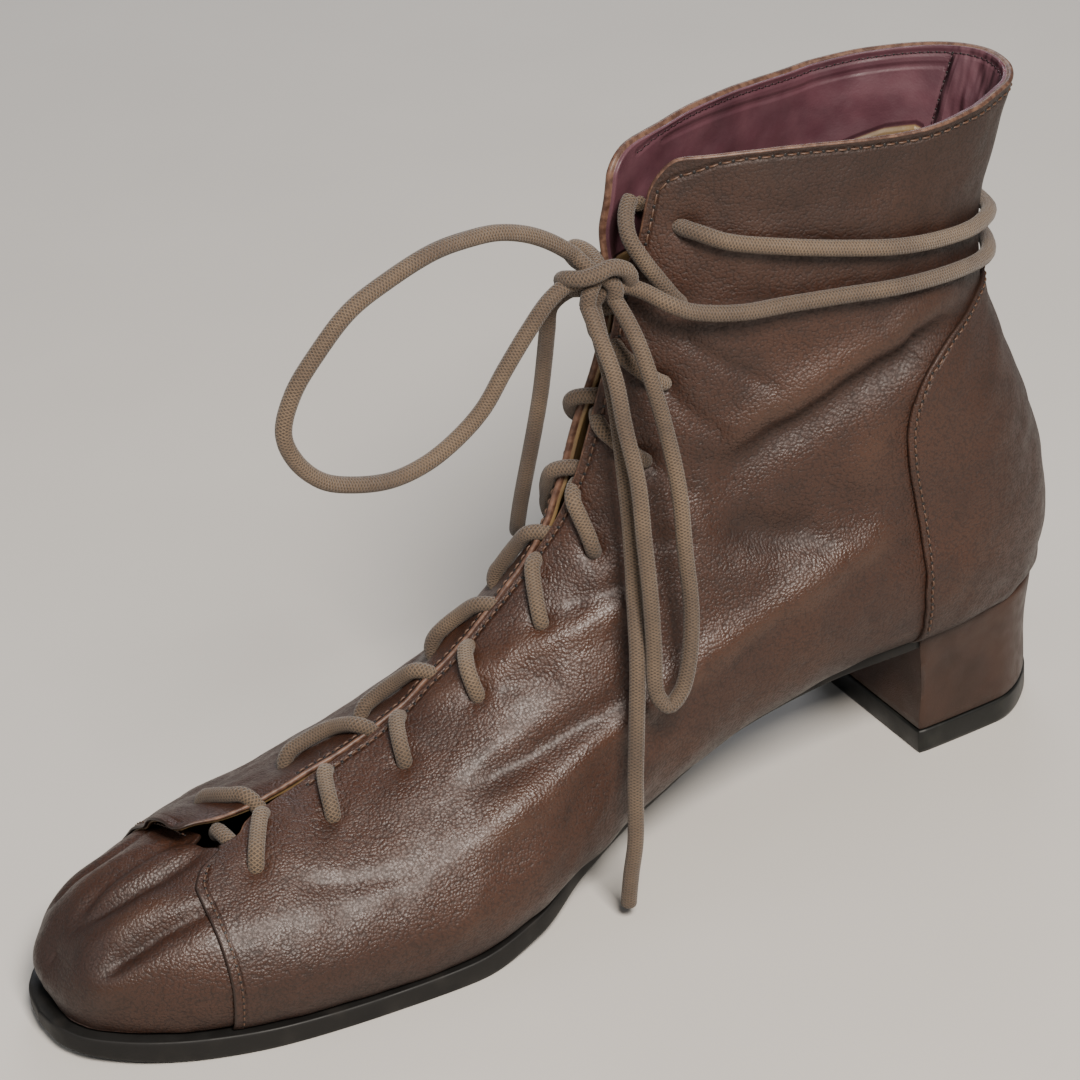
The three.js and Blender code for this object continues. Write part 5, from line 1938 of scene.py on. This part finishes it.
    def hole_dents(self, points: Array) -> Array:
        """How far the lace pulls the leather in at its holes, as exp(-(d / w)^2) of the distance to each.

        Args:
            points: Points of the skin.

        Returns:
            The moves, in millimetres.
        """
        holes = np.array(LACE_HOLES)
        centres = np.concatenate([LAST.point(holes[:, 0], side * holes[:, 1]) for side in (-1, 1)])
        total = np.zeros(len(points))
        for centre in centres:
            distance = np.linalg.norm(points - centre, axis=1)
            total -= self.puckers * np.exp(-((distance / self.pucker_width) ** 2))
        return total

    def dress(self, row: Array, around: Array) -> tuple:
        """Places of the skin with the moves of the leather, how polished and painted with highlight, how
        darkened by burnishing and painted shade, and how matt it is.

        Args:
            row: Row of each place.
            around: Share of girth of each place.

        Returns:
            The points, their outward directions, the moves and the named values.
        """
        row, around = LAST.canonical(row, around)
        points, normals = LAST.point(row, around), LAST.normal(row, around)
        move = relief(points, normals, row, around)
        height = points[:, 2] - LAST.base(row, np.ones_like(row))[1]
        # The toe is darkened by burnishing; the leather just over the feather line and low at the heel by
        # burnishing and painted shade; the troughs by painted shade alone.
        toe = self.front_burnish_and_shade * smooth_step(-points[:, 0], *self.toe_shade)
        edge = self.front_burnish_and_shade * (1 - smooth_step(height, *self.edge_heights))
        rear = smooth_step(row, *self.rear_rows) * (1 - smooth_step(height, *self.rear_heights))
        shade = np.maximum.reduce([toe, edge, self.rear_burnish_and_shade * rear])
        shade = shade + self.trough_painted_shade * smooth_step(-move, *self.trough_depths)
        named = {
            # Paler ridges: wear with a painted highlight.
            "polish_and_highlight": smooth_step(move, *self.ridge_heights),
            "burnish_and_shade": np.clip(shade, 0, 1),
            "matt": self.matt * smooth_step(row, *self.matt_rows),
        }
        return points, normals, move, named

    def flap(self, row: Array, around: Array) -> Array:
        """How far the outer quarter's free front corner stands up off the toe piece."""
        fade = (1 - smooth_step(row, *self.flap_rows)) * (1 - smooth_step(around, *self.flap_around))
        return self.flap_lift * fade * (around > 0)

    def seam_distance(self, points: Array, seams: tuple[Seam, ...]) -> Array:
        """The distance from each point to the nearest of some seams, in millimetres."""
        return np.min([seam.distance(points, self.seam_reach) for seam in seams], axis=0)

    def facing(self, row: Array, around: Array) -> Array:
        """1 where the wine red lining is and 0 where the tan one is, with a soft step between them."""
        table = np.array(self.lining_top)
        line = np.interp(np.abs(around), table[:, 0], table[:, 1])
        return np.clip(0.5 + (row - line) / self.facing_blend, 0, 1)

    def quarters(self) -> None:
        """Make both quarters as one mesh that is joined at the back seam."""
        sides = [self.quarter_places(side) for side in (-1, 1)]
        row, around = (np.concatenate([places[k].reshape(-1) for places in sides]) for k in (0, 1))
        far = np.repeat([0.0, 1.0], len(row) // 2)
        points, normals, move, named = self.dress(row, around)
        move = move + self.hole_dents(points) + far * self.flap(row, around)
        wall = self.seam_wall + (self.wall - self.seam_wall) * smooth_step(row, *self.seam_wall_rows)
        flare = COLLAR_FLARE.moves(*LAST.canonical(row, around))
        outer = points + normals * move[:, None] + flare
        inner = points + normals * (move - wall)[:, None] + flare
        lower_edge = self.seam_row(np.full_like(row, self.seam_rows[0]), around)
        named["seam"] = self.seam_distance(points, QUARTER_SEAMS)
        named["facing"] = self.facing(row, around)
        named["liner"] = self.seam_distance(points, LINING_SEAMS + LINING_LINES)
        named["pleat"] = smooth_step(np.abs(around), *self.pleat_around) * smooth_step(row, *self.pleat_rows)
        named["fray"] = smooth_step(row - lower_edge, *self.fray_rows)
        quads = grid_quads(self.lines + self.dense_lines - 1, self.columns, 2)
        piece = self.sewn("quarters", closed_shell(outer, inner, quads, self.rim, named), self.rim_slots)
        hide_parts("upper")

    def toe(self) -> None:
        """Make the toe piece, whose rear edge lies under the quarters and is free in the throat."""
        around = np.linspace(-1, 1, self.toe_columns)[None, :]
        under = smooth_step(-around, *self.under_inner) + smooth_step(around, *self.under_outer)
        share = LAST.row_lines(0, self.seam_rows[0], self.toe_lines)[:, None] / self.seam_rows[0]
        row = (LAST.toe_seam.read("row", around) + self.under_rows * under) * share
        row, around = (grid.reshape(-1) for grid in np.broadcast_arrays(row, around))
        points, normals, move, named = self.dress(row, around)
        behind = row - LAST.toe_seam.read("row", around)
        drop = self.toe_drop + (self.under_drop - self.toe_drop) * smooth_step(behind, *self.under_from)
        low, high = self.sink_around
        under_flap = smooth_step(around, *low) * (1 - smooth_step(around, *high))
        drop = drop + self.toe_sink * under_flap * smooth_step(behind, *self.sink_rows)
        share, least = self.toe_lining
        outer = points + normals * (move - drop)[:, None]
        inner = points + normals * (np.minimum(move * share, move - drop + least) - self.wall)[:, None]
        named["seam"] = named["liner"] = np.full(len(row), self.seam_reach)
        named["facing"] = named["pleat"] = named["fray"] = np.zeros(len(row))
        quads = grid_quads(self.toe_lines, self.toe_columns)
        self.sewn("toe_piece", closed_shell(outer, inner, quads, self.thin_rim, named), self.toe_slots)

    def counter(self) -> None:
        """Make the heel counter that is sewn over the quarters, thinned towards the seat."""
        rows = LAST.row_lines(COUNTER_SEAM[0][0], COUNTER_SEAM[-1][0], self.counter_lines)[:, None]
        share = np.linspace(0, 1, self.counter_columns)[None, :]
        near, far = (LAST.counter_front(rows, inner) for inner in (True, False))
        around = [-(near + (1 - near) * share)[:, ::-1], far + (1 - far) * share]
        around = np.concatenate([grid.reshape(-1) for grid in around])
        row = np.tile(np.repeat(rows[:, 0], self.counter_columns), 2)
        points, normals, move, named = self.dress(row, around)
        thin, full = self.skive
        seat = LAST.base(row, np.ones_like(row))[1]
        seat = np.where(row >= BACK_ROW, LAST.station.read("base_z", BACK_ROW), seat)
        thick = self.counter_lift * (thin + (1 - thin) * smooth_step(points[:, 2] - seat, 0, full))
        outer = points + normals * (move + thick)[:, None]
        inner = points + normals * (move - self.counter_sink)[:, None]
        named["seam"] = self.seam_distance(points, COUNTER_SEAMS)
        named["fray"] = np.zeros(len(row))
        quads = grid_quads(self.counter_lines, self.counter_columns, 2)
        shell = closed_shell(outer, inner, quads, self.thin_rim, named)
        self.sewn("heel_counter", shell, self.counter_slots)


def height_at(table: Pairs) -> SmoothTable:
    """A height curve from a table of places along the sole and heights."""
    return SmoothTable(("x", "z"), table, "x")


BASE_LINE = height_at(tuple((station[0], station[1]) for station in STATIONS[: BACK_ROW + 1]))
UNDERSIDE = (
    (0, 2.4), (8, 1.9), (18, 0.9), (30, 0.2), (42, 0), (88, 0), (104, 1.9), (120, 5.4), (140, 11.8),
    (164, 19.6), (190, 25.8), (214, 29.2),
)
SOLE_MARGIN = ((0, 2.4), (7, 2.4), (9.5, 1.2), (12, 0.3), (17, 0.3))
INSOLE_MARGIN = ((0, -2.8), (2, -2.4), (4, -2), (12, -1.9), (14, -2.8), (16, -3.4), (17, -3.8))


@dataclass
class Bottom:
    """Insole, outsole, covered heel and top lift, each a plate between two heights of the outline."""

    breast: float = 211.0
    breast_row: float = 12.87
    gap: float = 0.3
    seat_gap: float = 0.1
    insole_thickness: float = 2.0
    lift_height: float = 6.0
    heel_margin: float = 0.7
    lift_margin: float = 0.3
    taper: Span = (0.955, 0.965)
    round: float = 0.5
    insole_rim: Pairs = ((0.1, 0.1), (0.5, 0.2), (0.9, 0.1))
    sole_rim: Pairs = ((0.0, 0.2), (0.06, 0.4), (0.2, 0.5), (0.8, 0.5), (0.95, 0.35), (1.0, 0.15))
    lift_rim: Pairs = ((0.0, 0.3), (0.1, 0.5), (0.85, 0.5), (1.0, 0.2))
    heel_depths: tuple[float, float, int] = (0.02, 0.98, 15)
    heel_hollow: float = 1.5
    heel_overlap: float = 0.05
    heel_crowding: float = 1.6
    toe_rows: float = 1.5
    toe_lines: int = 30
    columns: int = 41
    sole_lines: int = 150
    heel_lines: int = 70

    def outline(self, rows: Array, side: int, margin: Array | float) -> Array:
        """The feather line moved out in plan by a margin.

        Args:
            rows: Rows along it.
            side: -1 for the inner side, 1 for the outer one.
            margin: The margin at each row.

        Returns:
            Points in plan.
        """
        column = "feather_in" if side < 0 else "feather_out"

        def edge(at: Array) -> Array:
            """The feather line itself."""
            return np.stack([LAST.seat.read("base_x", at), side * LAST.seat.read(column, at)], axis=-1)

        low, high = np.maximum(0, rows - LAST.step), np.minimum(BACK_ROW, rows + LAST.step)
        along = unit(edge(high) - edge(low))
        out = np.stack([-side * along[:, 1], side * along[:, 0]], axis=-1)
        out = np.where((rows < LAST.step)[:, None], [-1.0, 0.0], out)
        out = np.where((rows > BACK_ROW - LAST.step)[:, None], [1.0, 0.0], out)
        return edge(rows) + out * np.broadcast_to(margin, rows.shape)[:, None] + [0.0, CENTRE_Y]

    def plan(self, rows: Array, margin: Array | float) -> Array:
        """Points across the outline at each row, as lines by columns by two."""
        inner, outer = self.outline(rows, -1, margin), self.outline(rows, 1, margin)
        share = (0.5 - 0.5 * np.cos(np.linspace(0, math.pi, self.columns)))[None, :, None]
        return inner[:, None] * (1 - share) + outer[:, None] * share

    def plate(self, top: Array, bottom: Array, rim: Pairs) -> MeshParts:
        """Close a plate between its top and its underside, both as lines by columns by three."""
        lines, columns = top.shape[:2]
        return closed_shell(top.reshape(-1, 3), bottom.reshape(-1, 3), grid_quads(lines, columns), rim)

    def raised(self, plan: Array, height: Array) -> Array:
        """Plan points with their heights."""
        return np.concatenate([plan, np.broadcast_to(height, plan.shape[:2])[..., None]], axis=-1)

    def build(self) -> None:
        """Make the four pieces."""
        margin = SmoothTable(("row", "margin"), INSOLE_MARGIN, "row")
        rows = np.linspace(0, BACK_ROW, self.sole_lines)
        plan = self.plan(rows, margin.read("margin", rows))
        base = BASE_LINE.read("z", plan[..., 0])
        top = self.raised(plan, base + self.insole_thickness)
        parts = self.plate(top, self.raised(plan, base), self.insole_rim)
        self.piece("insole", parts, Finish.SOCK.material(), "insole_leather")
        self.outsole()
        self.heel()

    def outsole(self) -> None:
        """Make the outsole up to the heel's breast."""
        start = np.linspace(0, 1, self.toe_lines) ** 2 * self.toe_rows
        rows = np.concatenate([start, np.linspace(self.toe_rows, self.breast_row, self.sole_lines)[1:]])
        margin = SmoothTable(("row", "margin"), SOLE_MARGIN, "row").read("margin", rows)
        plan = self.plan(rows, margin - self.round)
        plan[..., 0] = np.minimum(plan[..., 0], self.breast - self.gap)
        top = BASE_LINE.read("z", plan[..., 0]) - self.seat_gap
        under = height_at(UNDERSIDE).read("z", plan[..., 0])
        parts = self.plate(self.raised(plan, top), self.raised(plan, under), self.sole_rim)
        self.piece("outsole", parts, Finish.SOLE.material(), "sole_rubber")

    def heel(self) -> None:
        """Make the covered heel, a little hollow on its sides, and the top lift under it."""
        rows = np.linspace(self.breast_row, BACK_ROW, self.heel_lines)
        span = BACK_ROW - self.breast_row
        rows = BACK_ROW - (BACK_ROW - rows) ** self.heel_crowding / span ** (self.heel_crowding - 1)
        plan = self.plan(rows, self.heel_margin - self.round)
        plan[..., 0] = np.maximum(plan[..., 0], self.breast + self.round)
        centre = np.array([self.breast, CENTRE_Y])
        low = centre + (plan - centre) * np.array(self.taper)
        top = BASE_LINE.read("z", plan[..., 0]) - self.seat_gap
        depths = np.linspace(*self.heel_depths)
        hollow = self.round * (1 - self.heel_hollow * np.sin(math.pi * depths) ** 1.5)
        rim = tuple(zip(depths.tolist(), hollow.tolist()))
        under = np.array(self.lift_height + self.heel_overlap)
        parts = self.plate(self.raised(plan, top), self.raised(low, under), rim)
        self.piece("heel", parts, Finish.HEEL_COVER.material(), "heel_leather")
        wide = self.plan(rows, self.heel_margin + self.lift_margin - self.round)
        wide[..., 0] = np.maximum(wide[..., 0], self.breast + self.round - self.lift_margin)
        wide = centre + (wide - centre) * np.array(self.taper)
        top, under = (self.raised(wide, np.array(height)) for height in (self.lift_height, 0.0))
        parts = self.plate(top, under, self.lift_rim)
        self.piece("top_lift", parts, Finish.LIFT.material(), "sole_rubber")

    def piece(self, name: str, parts: MeshParts, material: bpy.types.Material, slot: str) -> None:
        """Make a piece that stands for the CAD node of its own name.

        Args:
            name: The piece's name.
            parts: Its mesh.
            material: Its material.
            slot: Not used.
        """
        piece = new_piece(name, parts, [material])
        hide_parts(name)


def main() -> None:
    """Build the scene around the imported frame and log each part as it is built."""
    logging.basicConfig(level=logging.INFO, format="%(name)s: %(message)s")
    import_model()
    for part in (Studio(), Laces(), Upper(), Stitching(), Bottom()):
        part.build()
        LOG.info("%s built", type(part).__name__)


if __name__ == "__main__":
    main()
